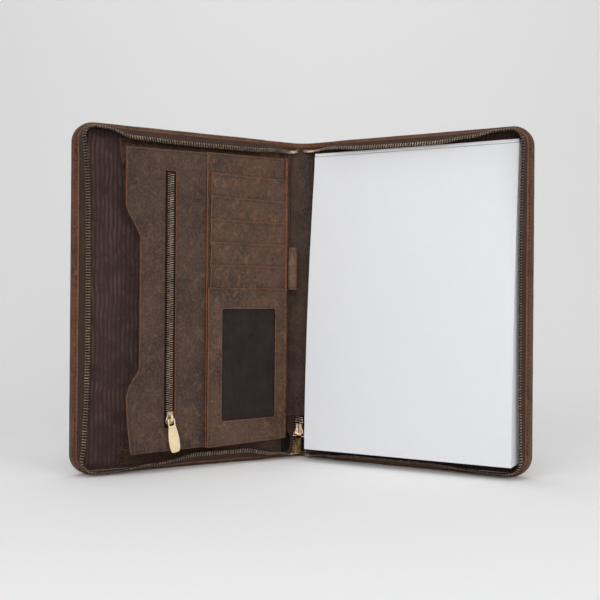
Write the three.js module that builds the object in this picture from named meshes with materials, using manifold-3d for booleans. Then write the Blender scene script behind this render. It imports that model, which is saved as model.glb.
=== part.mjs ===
// Zip-around leather document case, standing open like a book.
// Millimetres, +Z up. The origin is the middle of the spine's bottom edge.
// The covers open towards -Y and the case stands on the floor plane Z = 0.

import * as THREE from "three";
import { mergeVertices } from "three/addons/utils/BufferGeometryUtils.js";
import Module from "manifold-3d";

const wasm = await Module();
wasm.setup();

// Case
const caseHeight = 323;
const coverWidth = 227.2;
const spineWidth = 25;
const openHalfAngle = THREE.MathUtils.degToRad(29);
const cornerRadius = 19;
const coverThickness = 3.2;
const clearance = 0.3;

// Edge bands and spine hems
const bandThickness = 1.9;
const bandRise = 10.2;
const bandFlat = 3.2;
const bandSetBack = 2.15;
const bandLean = 2.6;
const bandEnd = 23;
const bandEndRise = 0.45;
const bandTaper = 14;
const hemHeight = 5.1;
const hemTopThickness = 1.8;
const hemBottomThickness = 1.2;

// Linings
const liningThickness = 1;
const liningMargin = 4.2;
const spineLiningBottom = 42;
const spineLiningTopMargin = 15;

// Perimeter zip
const tapeWidth = 8.3;
const tapeThickness = 0.9;
const tapeGap = 0.6;
const chainWidth = 2.8;
const chainThickness = 2.2;
const chainPartingGap = 0.9;
const chainSetOff = 1.5;
const fullLean = 77;

// Main slider at the foot of the spine
const mainSliderAcross = -1.1;
const mainSliderHeight = 28.1;
const mainSliderStandOff = 7.6;
const mainSliderTilt = 20;
const footTurnIn = 64;
const footTurnUp = 76;
const mainPullLength = 24;
const mainPullWidth = 9.6;
const mainPullLean = -7;

// Sliders and pulls
const plateLength = 12.2;
const plateHalfWidth = 5;
const plateThickness = 1.1;
const postHalfWidth = 0.9;
const bridgeHalfWidth = 1;
const bridgeWire = 1.3;
const bridgeInnerHeight = 2.8;
const bridgeInnerLength = 5.2;
const pullThickness = 1.3;
const pullBar = 1.3;
const eyeHalfWidth = 2;
const eyeArm = 1.4;

// Organizer: a front that leans out from the spine over the large pocket
const organizerTilt = 8.75;
const organizerFold = 5;
const organizerFoldHeight = 7.3;
const organizerBottom = 19.8;
const organizerTopGap = 20.2;
const organizerRimGap = 42.7;
const organizerTopFall = 4.1;
const zipPanelUnderlap = 5;
const cardPanelWidth = 95.5;
const organizerRightMargin = 4.1;
const leatherThickness = 1.4;
const waveDepth = 14.6;
const waveBottom = 63;
const waveTopDrop = 67;
const waveSlope = 21;

// Pocket zip in the organizer
const zipSlotWidth = 11.4;
const zipSlotTopMargin = 18.1;
const zipSlotBottomMargin = 21.2;
const zipSlotInset = 40.4;
const pocketTapeWidth = 26;
const pocketChainWidth = 6.4;
const pocketChainThickness = 1.8;
const pocketSliderRise = 9.6;
const pocketPullLength = 31.5;
const pocketPullWidth = 11.4;
const pocketPullLean = 10;

// Card slots, note window and edge strip
const slotCount = 5;
const slotPitch = 22;
const topSlotDrop = 20.2;
const slotThickness = 1.2;
const slotTuck = 3;
const slotSideMargin = 3.2;
const windowTopRail = 20.5;
const windowBottomRail = 24.1;
const windowLeftRail = 16.2;
const windowRightRail = 15.6;
const meshOverlap = 5;
const edgeStripWidth = 3.4;
const edgeStripThickness = 1.4;

// Gussets that close the large pocket above and below
const gussetThickness = 1.2;
const gussetFootMargin = 12.2;
const gussetTuck = 3.5;
const gussetTopFold = 0.82;
const gussetBottomFold = 0.5;
const gussetFoldLeast = 3;
const gussetInnerEnd = 32;

// Pen loop
const loopHeight = 43;
const loopTopDrop = 108.4;
const loopWidth = 10.8;
const loopDepth = 10.4;
const loopWall = 1.5;
const loopAcross = -9.1;
const loopStandOff = 1.7;

// Writing pad
const padInset = 6.4;
const padRimGap = 10.8;
const padBottom = 12.2;
const padTopGap = 12.8;
const padBoundThickness = 8.1;
const padFanThickness = 26.4;
const padBackingThickness = 1;
const padBindingHeight = 3.4;

// Derived places
const halfSpine = spineWidth / 2;
const foldRadius = halfSpine / Math.sin(openHalfAngle);
const foldCentre = -foldRadius * Math.cos(openHalfAngle);
const spineRise = foldRadius + foldCentre;
const boardInset = bandThickness + clearance;
const liningFace = clearance + liningThickness;
const tilt = THREE.MathUtils.degToRad(organizerTilt);
const organizerTop = caseHeight - organizerTopGap;
const organizerWidth = coverWidth - organizerRimGap;
const zipPanelTop = organizerTop - organizerTopFall;
const waveTop = zipPanelTop - waveTopDrop;
const zipSlotTop = zipPanelTop - zipSlotTopMargin;
const zipSlotBottom = organizerBottom + zipSlotBottomMargin;
const topSlotHeight = organizerTop - topSlotDrop;
const frameLip = topSlotHeight - slotCount * slotPitch;
const windowTop = frameLip - windowTopRail;
const windowBottom = organizerBottom + windowBottomRail;
const padRight = coverWidth - padRimGap;
const padTop = caseHeight - padTopGap;

// Materials
function finish(colour, roughness, metalness) {
  return new THREE.MeshStandardMaterial({ color: colour, roughness, metalness });
}
const finishes = {
  leather: finish(0x50412f, 0.7, 0),
  bandLeather: finish(0x6e4229, 0.62, 0),
  spineLeather: finish(0x3a2c24, 0.85, 0),
  lining: finish(0x3a2f33, 0.9, 0),
  tape: finish(0x2c2523, 0.9, 0),
  brass: finish(0x8a6f45, 0.4, 1),
  gold: finish(0xd9c08e, 0.25, 1),
  paper: finish(0xdedfe2, 0.85, 0),
  card: finish(0x9c8a72, 0.9, 0),
};

// A closed mesh with its faces turned outwards.
function closedGeometry(points, triangles) {
  let volume = 0;
  for (const [a, b, c] of triangles) {
    volume += points[a].dot(new THREE.Vector3().crossVectors(points[b], points[c]));
  }
  const turned = volume < 0 ? triangles.map(([a, b, c]) => [a, c, b]) : triangles;
  const geometry = new THREE.BufferGeometry();
  geometry.setAttribute("position", new THREE.Float32BufferAttribute(points.flatMap((p) => p.toArray()), 3));
  geometry.setIndex(turned.flat());
  geometry.computeVertexNormals();
  return geometry;
}

// Skin over closed rings of equal count. In each ring the points run along one face
// of a strip and back along the other, so the end caps close as a row of quads.
function loft(rings) {
  const count = rings[0].length;
  const pairs = count / 2;
  const triangles = [];
  for (let ring = 0; ring + 1 < rings.length; ring += 1) {
    for (let i = 0; i < count; i += 1) {
      const a = ring * count + i;
      const b = ring * count + ((i + 1) % count);
      triangles.push([a, b, b + count], [a, b + count, a + count]);
    }
  }
  const last = (rings.length - 1) * count;
  for (let i = 0; i + 1 < pairs; i += 1) {
    const quad = [i, i + 1, count - 2 - i, count - 1 - i];
    const [a, b, c, d] = quad;
    triangles.push([a, c, b], [a, d, c]);
    triangles.push([last + a, last + b, last + c], [last + a, last + c, last + d]);
  }
  return closedGeometry(rings.flat(), triangles);
}

// Outline of a strip of even thickness round a centre line of flat points.
function thicken(line, thickness) {
  const half = thickness / 2;
  const offset = (side) => line.map((point, i) => {
    const before = line[Math.max(i - 1, 0)];
    const after = line[Math.min(i + 1, line.length - 1)];
    const into = point.clone().sub(before).normalize();
    const out = after.clone().sub(point).normalize();
    const along = into.lengthSq() === 0 ? out : out.lengthSq() === 0 ? into : into.clone().add(out).normalize();
    const lead = into.lengthSq() === 0 ? out : into;
    const spread = Math.max(along.dot(lead), 0.5);
    const normal = new THREE.Vector2(-along.y, along.x);
    return point.clone().addScaledVector(normal, (side * half) / spread);
  });
  return [...offset(1), ...offset(-1).reverse()];
}

// A flat plate cut to an outline, from one height to another.
function plate(outline, holes, from, to) {
  const shape = new THREE.Shape(outline);
  shape.holes = holes.map((hole) => new THREE.Path(hole));
  const geometry = new THREE.ExtrudeGeometry(shape, { depth: to - from, bevelEnabled: false, curveSegments: 8 });
  geometry.translate(0, 0, from);
  return geometry;
}

function rectangle(left, bottom, right, top) {
  return [
    new THREE.Vector2(left, bottom),
    new THREE.Vector2(right, bottom),
    new THREE.Vector2(right, top),
    new THREE.Vector2(left, top),
  ];
}

// A rectangle whose two corners on one side are rounded.
function coverOutline(side, inner, outer, bottom, top, radius) {
  const points = [new THREE.Vector2(side * inner, bottom), new THREE.Vector2(side * inner, top)];
  const steps = 6;
  for (let i = 0; i <= steps; i += 1) {
    const angle = (Math.PI / 2) * (1 - i / steps);
    const across = outer - radius + radius * Math.cos(angle);
    points.push(new THREE.Vector2(side * across, top - radius + radius * Math.sin(angle)));
  }
  for (let i = 0; i <= steps; i += 1) {
    const angle = (-Math.PI / 2) * (i / steps);
    const across = outer - radius + radius * Math.cos(angle);
    points.push(new THREE.Vector2(side * across, bottom + radius + radius * Math.sin(angle)));
  }
  return points;
}

function toManifold(geometry) {
  const bare = geometry.clone();
  bare.deleteAttribute("normal");
  bare.deleteAttribute("uv");
  const merged = mergeVertices(bare, 1e-4);
  const mesh = new wasm.Mesh({
    numProp: 3,
    vertProperties: Float32Array.from(merged.attributes.position.array),
    triVerts: Uint32Array.from(merged.index.array),
  });
  return new wasm.Manifold(mesh);
}

function fromManifold(solid) {
  const mesh = solid.getMesh();
  const geometry = new THREE.BufferGeometry();
  geometry.setAttribute("position", new THREE.Float32BufferAttribute(mesh.vertProperties, 3));
  geometry.setIndex(Array.from(mesh.triVerts));
  geometry.computeVertexNormals();
  return geometry;
}

// Value of a table at a share of its run, eased between its rows.
function sample(table, share, column) {
  const last = table.length - 1;
  const next = Math.min(Math.max(table.findIndex((row) => row.share >= share), 1), last);
  const before = table[next - 1];
  const after = table[next];
  const along = THREE.MathUtils.clamp((share - before.share) / (after.share - before.share), 0, 1);
  return THREE.MathUtils.lerp(before[column], after[column], THREE.MathUtils.smoothstep(along, 0, 1));
}

// Place on a cover: distance out from the fold, height, and height above its inner face.
function coverPoint(side, reach, height, depth) {
  const sine = Math.sin(openHalfAngle);
  const cosine = Math.cos(openHalfAngle);
  const across = side * (halfSpine + reach * cosine - depth * sine);
  return new THREE.Vector3(across, -reach * sine - depth * cosine, height);
}

// Place on the spine: angle round its curve, height, and height above its inner face.
function spinePoint(angle, height, depth) {
  const radius = foldRadius - depth;
  return new THREE.Vector3(radius * Math.sin(angle), foldCentre + radius * Math.cos(angle), height);
}

// Place by its distance across from the middle of the spine, on the spine or a cover.
function foldPlace(across, height, depth) {
  const beyond = Math.abs(across) - halfSpine;
  if (beyond > 0) {
    return coverPoint(Math.sign(across), beyond / Math.cos(openHalfAngle), height, depth);
  }
  return spinePoint(Math.asin(across / foldRadius), height, depth);
}

const part = new THREE.Group();
const caseFrame = new THREE.Group();
caseFrame.position.y = -(spineRise + coverThickness / 2);
part.add(caseFrame);

// A cover's own frame: x across the cover, y up, z off its inner face.
function coverFrame(side) {
  const hinge = new THREE.Group();
  hinge.position.x = side * halfSpine;
  hinge.rotation.z = -side * openHalfAngle;
  const page = new THREE.Group();
  page.rotation.x = Math.PI / 2;
  hinge.add(page);
  caseFrame.add(hinge);
  return page;
}
const leftPage = coverFrame(-1);
const rightPage = coverFrame(1);

const organizer = new THREE.Group();
organizer.position.set(-organizerFold, 0, organizerFoldHeight);
organizer.rotation.y = tilt;
leftPage.add(organizer);

function addPiece(parent, name, geometry, material) {
  const mesh = new THREE.Mesh(geometry, material);
  mesh.name = name;
  parent.add(mesh);
  return mesh;
}

// Sections across the covers and spine, from the left edge to the right one.
function foldSections(reaches, low, high, from, to) {
  const ring = (place, bottom, top) => [
    place(bottom, from),
    place(top, from),
    place(top, to),
    place(bottom, to),
  ];
  const coverRings = (side) => reaches.map((reach) => (
    ring((height, depth) => coverPoint(side, reach, height, depth), low(reach), high(reach))
  ));
  const steps = 8;
  const spineRings = [];
  for (let i = 1; i < steps; i += 1) {
    const angle = openHalfAngle * ((2 * i) / steps - 1);
    spineRings.push(ring((height, depth) => spinePoint(angle, height, depth), low(0), high(0)));
  }
  return [...coverRings(-1), ...spineRings, ...coverRings(1).reverse()];
}

function buildCoverWrap() {
  const outer = coverWidth - boardInset;
  const radius = cornerRadius - boardInset;
  const seamSlant = 0.6;
  const seam = bandEnd - clearance;
  const inset = (reach) => {
    if (reach < seam) {
      return 0;
    }
    const over = Math.max(reach - (outer - radius), 0);
    return boardInset + radius - Math.sqrt(Math.max(radius * radius - over * over, 0));
  };
  const reaches = [];
  const steps = 6;
  for (let i = 0; i <= steps; i += 1) {
    reaches.push(outer - radius + radius * Math.cos((Math.PI / 2) * (i / steps)));
  }
  reaches.push(seam, seam - seamSlant, 0);
  const rings = foldSections(reaches, inset, (reach) => caseHeight - inset(reach), 0, -coverThickness);
  addPiece(caseFrame, "cover_wrap", loft(rings), finishes.leather);
}

function buildSpineHems() {
  const reaches = [bandEnd - clearance * 2, 0];
  const hem = (name, bottom, top, thickness) => {
    const rings = foldSections(reaches, () => bottom, () => top, clearance, clearance + thickness);
    addPiece(caseFrame, name, loft(rings), finishes.bandLeather);
  };
  hem("spine_hem_top", caseHeight - hemHeight, caseHeight, hemTopThickness);
  hem("spine_hem_bottom", 0, hemHeight, hemBottomThickness);
}

function buildLinings() {
  const outer = coverWidth - liningMargin;
  const radius = cornerRadius - liningMargin;
  for (const [side, page, name] of [[-1, leftPage, "lining_left"], [1, rightPage, "lining_right"]]) {
    const bottom = hemHeight + clearance;
    const outline = coverOutline(side, clearance, outer, bottom, caseHeight - bottom, radius);
    addPiece(page, name, plate(outline, [], clearance, liningFace), finishes.lining);
  }
  const top = caseHeight - spineLiningTopMargin;
  const rings = [];
  const steps = 6;
  const edge = openHalfAngle * 0.94;
  for (let i = 0; i <= steps; i += 1) {
    const angle = edge * ((2 * i) / steps - 1);
    rings.push([
      spinePoint(angle, spineLiningBottom, clearance),
      spinePoint(angle, top, clearance),
      spinePoint(angle, top, liningFace),
      spinePoint(angle, spineLiningBottom, liningFace),
    ]);
  }
  addPiece(caseFrame, "spine_lining", loft(rings), finishes.spineLeather);
}

// Lean of the zip tape, in degrees from upright, along the rim from the top of the
// spine round the cover to the foot of the spine.
const rimLean = {
  "-1": [
    { share: 0, lean: 45 },
    { share: 0.04, lean: 54 },
    { share: 0.14, lean: 56 },
    { share: 0.21, lean: 50 },
    { share: 0.25, lean: 18 },
    { share: 0.283, lean: 6 },
    { share: 0.33, lean: 22 },
    { share: 0.38, lean: 32 },
    { share: 0.47, lean: 35 },
    { share: 0.55, lean: 35 },
    { share: 0.62, lean: 31 },
    { share: 0.68, lean: 20 },
    { share: 0.717, lean: 5 },
    { share: 0.76, lean: 4 },
    { share: 0.82, lean: 20 },
    { share: 0.887, lean: 50 },
    { share: 0.948, lean: 50 },
    { share: 1, lean: 20 },
  ],
  "1": [
    { share: 0, lean: 30 },
    { share: 0.06, lean: 42 },
    { share: 0.16, lean: 46 },
    { share: 0.21, lean: 30 },
    { share: 0.25, lean: 12 },
    { share: 0.283, lean: 6 },
    { share: 0.32, lean: 11 },
    { share: 0.38, lean: 16 },
    { share: 0.5, lean: 18 },
    { share: 0.62, lean: 16 },
    { share: 0.68, lean: 11 },
    { share: 0.717, lean: 5 },
    { share: 0.76, lean: 6 },
    { share: 0.85, lean: 21 },
    { share: 0.95, lean: 21 },
    { share: 1, lean: 12 },
  ],
};

// Stations round the three free sides of a cover. Each gives a point on the rim's
// outer face, the outward direction there, and its distance along the rim.
function rimStations() {
  const stations = [];
  const add = (reach, height, outReach, outHeight) => {
    const last = stations.at(-1);
    const along = last ? last.along + Math.hypot(reach - last.reach, height - last.height) : 0;
    stations.push({ reach, height, outReach, outHeight, along });
  };
  const innerReach = coverWidth - cornerRadius;
  const innerTop = caseHeight - cornerRadius;
  const runSteps = 12;
  const sideSteps = 20;
  const cornerSteps = 6;
  const taperStep = bandTaper / 2;
  const run = [bandEnd, bandEnd + taperStep];
  for (let i = 0; i < runSteps; i += 1) {
    run.push(THREE.MathUtils.lerp(bandEnd + bandTaper, innerReach, i / runSteps));
  }
  run.forEach((reach) => add(reach, caseHeight, 0, 1));
  const corner = (centreHeight, fromAngle) => {
    for (let i = 0; i <= cornerSteps; i += 1) {
      const angle = fromAngle - (Math.PI / 2) * (i / cornerSteps);
      const outReach = Math.cos(angle);
      const outHeight = Math.sin(angle);
      add(innerReach + cornerRadius * outReach, centreHeight + cornerRadius * outHeight, outReach, outHeight);
    }
  };
  corner(innerTop, Math.PI / 2);
  for (let i = 1; i < sideSteps; i += 1) {
    add(coverWidth, THREE.MathUtils.lerp(innerTop, cornerRadius, i / sideSteps), 1, 0);
  }
  corner(cornerRadius, 0);
  run.reverse().forEach((reach) => add(reach, 0, 0, -1));
  return stations;
}

// Centre line of the band's section: distance inside the outer face, height off the board.
function bandLine(station, side, length) {
  const lean = sample(rimLean[side], station.along / length, "lean");
  const fromEnd = Math.min(station.along, length - station.along) / bandTaper;
  const rise = THREE.MathUtils.lerp(bandEndRise, 1, THREE.MathUtils.smoothstep(fromEnd, 0, 1));
  const share = (lean / fullLean) * rise;
  const half = bandThickness / 2;
  const table = [
    { up: -coverThickness, set: 0, lean: 0 },
    { up: bandFlat * rise, set: 0, lean: 0 },
    { up: bandRise * 0.59 * rise, set: 0.16, lean: 0.1 },
    { up: bandRise * 0.82 * rise, set: 0.53, lean: 0.46 },
    { up: bandRise * rise, set: 1, lean: 1 },
  ];
  const line = table.map((row) => {
    const inset = half + bandSetBack * row.set + bandLean * row.lean * share;
    return new THREE.Vector2(-inset, row.up);
  });
  return { line, lean };
}

function buildRim(side, label) {
  const stations = rimStations();
  const length = stations.at(-1).along;
  const place = (station, inset, depth) => coverPoint(
    side,
    station.reach + station.outReach * inset,
    station.height + station.outHeight * inset,
    depth,
  );
  const bandRings = [];
  const roots = [];
  const edges = [];
  for (const station of stations) {
    const { line, lean } = bandLine(station, side, length);
    bandRings.push(thicken(line, bandThickness).map((point) => place(station, point.x, point.y)));
    const tip = line.at(-1);
    const angle = THREE.MathUtils.degToRad(lean);
    const direction = new THREE.Vector2(-Math.sin(angle), Math.cos(angle));
    const root = tip.clone().addScaledVector(direction, tapeGap);
    const edge = root.clone().addScaledVector(direction, tapeWidth);
    roots.push(place(station, root.x, root.y));
    edges.push(place(station, edge.x, edge.y));
  }
  addPiece(caseFrame, `edge_band_${label}`, loft(bandRings), finishes.bandLeather);
  return { roots, edges };
}

// Frame of the main slider: x across, z up along the chain, y towards the spine.
const sliderFrame = new THREE.Group();
sliderFrame.position.set(mainSliderAcross, spineRise - mainSliderStandOff, mainSliderHeight);
sliderFrame.rotation.x = -THREE.MathUtils.degToRad(mainSliderTilt);
caseFrame.add(sliderFrame);
sliderFrame.updateMatrix();

function sliderPoint(across, up, off = 0) {
  return new THREE.Vector3(across, off, up).applyMatrix4(sliderFrame.matrix);
}

function hermite(from, fromTangent, to, toTangent, share) {
  const square = share * share;
  const cube = square * share;
  return new THREE.Vector3()
    .addScaledVector(from, 2 * cube - 3 * square + 1)
    .addScaledVector(fromTangent, cube - 2 * square + share)
    .addScaledVector(to, 3 * square - 2 * cube)
    .addScaledVector(toTangent, cube - square);
}

// Free stretch of tape between two held sections, both given as root and edge points.
function freeStretch(from, to, fromTangent, toTangent, steps) {
  const sections = [];
  for (let i = 1; i < steps; i += 1) {
    const share = i / steps;
    const root = hermite(from.root, fromTangent, to.root, toTangent, share);
    const edge = hermite(from.edge, fromTangent, to.edge, toTangent, share);
    const across = root.clone().sub(edge).setLength(tapeWidth);
    sections.push({ root: edge.clone().add(across), edge });
  }
  return sections;
}

// The tape through the main slider: place along it as a share of its length, how far
// the chain is spread from the middle, and the tape's bow towards the front in degrees.
const sliderHold = [
  { along: -0.62, spread: 1.5, bow: 72 },
  { along: -0.3, spread: 1.1, bow: 48 },
  { along: 0.1, spread: 0, bow: 22 },
  { along: 0.5, spread: 0, bow: 17 },
];

// One half of the perimeter zip: from under the top hem, round a cover's rim, through
// the main slider and up under the spine lining.
function buildZipHalf(side, label, rim) {
  const sections = rim.roots.map((root, i) => ({ root, edge: rim.edges[i] }));
  const inward = coverPoint(side, 0, 0, 0).sub(coverPoint(side, 1, 0, 0));
  const parting = chainPartingGap / 2;
  const half = parting + chainWidth + chainSetOff;
  const chainOff = sliderPoint(0, 0, 1).sub(sliderPoint(0, 0));
  const atSlider = ({ along, spread, bow }) => {
    const up = along * plateLength;
    const turn = THREE.MathUtils.degToRad(bow);
    return {
      root: sliderPoint(side * (half + spread + tapeWidth * Math.cos(turn)), up, -tapeWidth * Math.sin(turn)),
      edge: sliderPoint(side * (half + spread), up),
      tip: sliderPoint(side * (parting + spread), up),
      off: chainOff,
    };
  };
  const flat = (height, depth) => {
    const at = (across) => foldPlace(mainSliderAcross + side * across, height, depth);
    return { root: at(half + tapeWidth), edge: at(half), tip: at(parting), off: new THREE.Vector3(0, 1, 0) };
  };
  const tuckDepth = 2.2;
  const held = [...sliderHold.map(atSlider), flat(spineLiningBottom - clearance, tuckDepth)];
  const upChain = sliderPoint(0, footTurnUp).sub(sliderPoint(0, 0));
  const footTurn = freeStretch(sections.at(-1), held[0], inward.clone().multiplyScalar(footTurnIn), upChain, 9);
  const tucked = flat(caseHeight - hemHeight - clearance * 3, tuckDepth);
  const downOut = new THREE.Vector3(0, -8, -18);
  const headTurn = freeStretch(tucked, sections[0], downOut, inward.clone().multiplyScalar(-22), 9);
  const path = [tucked, ...headTurn, ...sections, ...footTurn, ...held];
  const tapeRings = [];
  const chainRings = [];
  path.forEach((section, i) => {
    const { root, edge } = section;
    const before = path[Math.max(i - 1, 0)].edge;
    const after = path[Math.min(i + 1, path.length - 1)].edge;
    const across = edge.clone().sub(root).normalize();
    const off = new THREE.Vector3().crossVectors(across, after.clone().sub(before)).normalize();
    const bar = (from, to, away, thickness) => [
      from.clone().addScaledVector(away, thickness / 2),
      to.clone().addScaledVector(away, thickness / 2),
      to.clone().addScaledVector(away, -thickness / 2),
      from.clone().addScaledVector(away, -thickness / 2),
    ];
    const toTip = section.tip ? section.tip.clone().sub(edge).normalize() : across;
    const chainFoot = edge.clone().addScaledVector(toTip, chainSetOff);
    const chainTip = chainFoot.clone().addScaledVector(toTip, chainWidth);
    const chainAway = section.off && section.off.dot(off) < 0 ? section.off.clone().negate() : section.off ?? off;
    tapeRings.push(bar(root, edge, off, tapeThickness));
    chainRings.push(bar(chainFoot, chainTip, chainAway, chainThickness));
  });
  addPiece(caseFrame, `zip_tape_${label}`, loft(tapeRings), finishes.tape);
  addPiece(caseFrame, `zip_chain_${label}`, loft(chainRings), finishes.brass);
}

// Slider: two plates held apart by a post, with a bridge over the outer plate.
// x across, z up along the chain, y towards the side that the pull hangs on.
function sliderGeometry(channelHeight) {
  const outline = [
    { across: 0.66, up: 0.5 },
    { across: 0.68, up: 0.18 },
    { across: 0.97, up: -0.14 },
    { across: 1, up: -0.3 },
    { across: 0.72, up: -0.41 },
    { across: 0.28, up: -0.48 },
  ];
  const corner = (row, side) => new THREE.Vector2(side * row.across * plateHalfWidth, row.up * plateLength);
  const points = [...outline.map((row) => corner(row, 1)), ...outline.map((row) => corner(row, -1)).reverse()];
  const gap = channelHeight / 2;
  const stand = (geometry) => geometry.rotateX(Math.PI / 2);
  const nearPlate = stand(plate(points, [], gap, gap + plateThickness));
  const farPlate = stand(plate(points, [], -gap - plateThickness, -gap));
  const postTop = -plateLength * 0.2;
  const postBottom = -plateLength * 0.46;
  const bite = plateThickness / 2;
  const post = stand(plate(rectangle(-postHalfWidth, postBottom, postHalfWidth, postTop), [], -gap - bite, gap + bite));
  const base = gap + plateThickness;
  const legLow = bridgeFoot();
  const legHigh = legLow + bridgeInnerLength;
  const side = [
    new THREE.Vector2(base - bite, legLow - bridgeWire),
    new THREE.Vector2(base + bridgeInnerHeight * 0.7, legLow - bridgeWire),
    new THREE.Vector2(base + bridgeInnerHeight + bridgeWire, legLow),
    new THREE.Vector2(base + bridgeInnerHeight + bridgeWire, legHigh),
    new THREE.Vector2(base + bridgeInnerHeight * 0.7, legHigh + bridgeWire),
    new THREE.Vector2(base - bite, legHigh + bridgeWire),
  ];
  const opening = rectangle(base, legLow, base + bridgeInnerHeight, legHigh);
  const arch = plate(side, [], -bridgeHalfWidth, bridgeHalfWidth);
  const hollow = plate(opening, [], -bridgeHalfWidth * 2, bridgeHalfWidth * 2);
  const turn = new THREE.Matrix4().makeBasis(
    new THREE.Vector3(0, 1, 0),
    new THREE.Vector3(0, 0, 1),
    new THREE.Vector3(1, 0, 0),
  );
  arch.applyMatrix4(turn);
  hollow.applyMatrix4(turn);
  const plates = toManifold(nearPlate).add(toManifold(farPlate)).add(toManifold(post));
  const bridge = toManifold(arch).subtract(toManifold(hollow));
  return fromManifold(plates.add(bridge));
}

function bridgeFoot() {
  return -plateLength * 0.2;
}

// Pull: a flat plate with an eye whose bar passes under the bridge. The bar's centre
// is the frame's origin and the plate hangs down -y.
function pullGeometry(length, width) {
  const halfBar = pullBar / 2;
  const bridgeSide = bridgeInnerHeight + bridgeWire;
  const eyeBottom = -(bridgeSide + bridgeWire + pullBar);
  const outerHalf = eyeHalfWidth + eyeArm;
  const rows = [
    { across: outerHalf * 0.55, up: halfBar },
    { across: outerHalf, up: halfBar - 0.9 },
    { across: outerHalf, up: eyeBottom + 1 },
    { across: outerHalf + 0.1, up: eyeBottom - 1.2 },
    { across: width * 0.42, up: -length * 0.36 },
    { across: width * 0.5, up: -length * 0.62 },
    { across: width * 0.46, up: -length * 0.84 },
    { across: width * 0.36, up: -length * 0.97 },
    { across: width * 0.2, up: -length },
  ];
  const right = rows.map((row) => new THREE.Vector2(row.across, row.up));
  const left = rows.map((row) => new THREE.Vector2(-row.across, row.up)).reverse();
  const eye = rectangle(-eyeHalfWidth, eyeBottom, eyeHalfWidth, -halfBar);
  return plate([...right, ...left], [eye], -pullThickness / 2, pullThickness / 2);
}

// Height of the pull's bar over the slider's middle, and along the chain.
function barPlace(channelHeight) {
  const base = channelHeight / 2 + plateThickness;
  return { off: base + bridgeInnerHeight / 2, up: bridgeFoot() + bridgeInnerHeight / 2 };
}

function buildMainSlider() {
  const channel = chainThickness + clearance * 2;
  addPiece(sliderFrame, "main_slider", sliderGeometry(channel), finishes.gold);
  const pull = pullGeometry(mainPullLength, mainPullWidth);
  hangPull(sliderFrame, "main_pull", pull, channel, mainSliderTilt, mainPullLean, finishes.brass);
}

// Hangs a pull from a slider's bridge: turned back upright, and leaning sideways.
function hangPull(frame, name, geometry, channel, turnBack, sideLean, material) {
  const { off, up } = barPlace(channel);
  const hang = new THREE.Group();
  hang.position.set(0, off, up);
  hang.rotation.x = THREE.MathUtils.degToRad(turnBack);
  const lean = new THREE.Group();
  lean.rotation.y = THREE.MathUtils.degToRad(-sideLean);
  const upright = new THREE.Group();
  upright.rotation.x = Math.PI / 2;
  frame.add(hang);
  hang.add(lean);
  lean.add(upright);
  addPiece(upright, name, geometry, material);
}

// Organizer places: x is the distance from its fold, negative outwards; z is off its face.
const cardLeft = -(organizerRightMargin + cardPanelWidth);
const zipRight = cardLeft + zipPanelUnderlap;
const zipLeft = -organizerWidth;

function waveOutline(inset) {
  const low = organizerBottom + waveBottom;
  const rows = [
    { across: 6.4, up: organizerBottom },
    { across: 2.8, up: organizerBottom + waveBottom * 0.45 },
    { across: 1.4, up: low - waveSlope * 0.5 },
    { across: waveDepth * 0.26, up: low - waveSlope * 0.13 },
    { across: waveDepth * 0.58, up: low + waveSlope * 0.24 },
    { across: waveDepth - 0.7, up: low + waveSlope * 0.61 },
    { across: waveDepth, up: low + waveSlope * 0.8 },
    { across: waveDepth, up: waveTop - waveSlope * 0.65 },
    { across: waveDepth * 0.82, up: waveTop - waveSlope * 0.38 },
    { across: waveDepth * 0.51, up: waveTop },
    { across: waveDepth * 0.15, up: waveTop + waveSlope * 0.37 },
    { across: 0, up: waveTop + waveSlope * 0.75 },
    { across: 0, up: zipPanelTop - inset },
  ];
  return rows.map((row) => new THREE.Vector2(zipLeft + inset + row.across, row.up));
}

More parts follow.
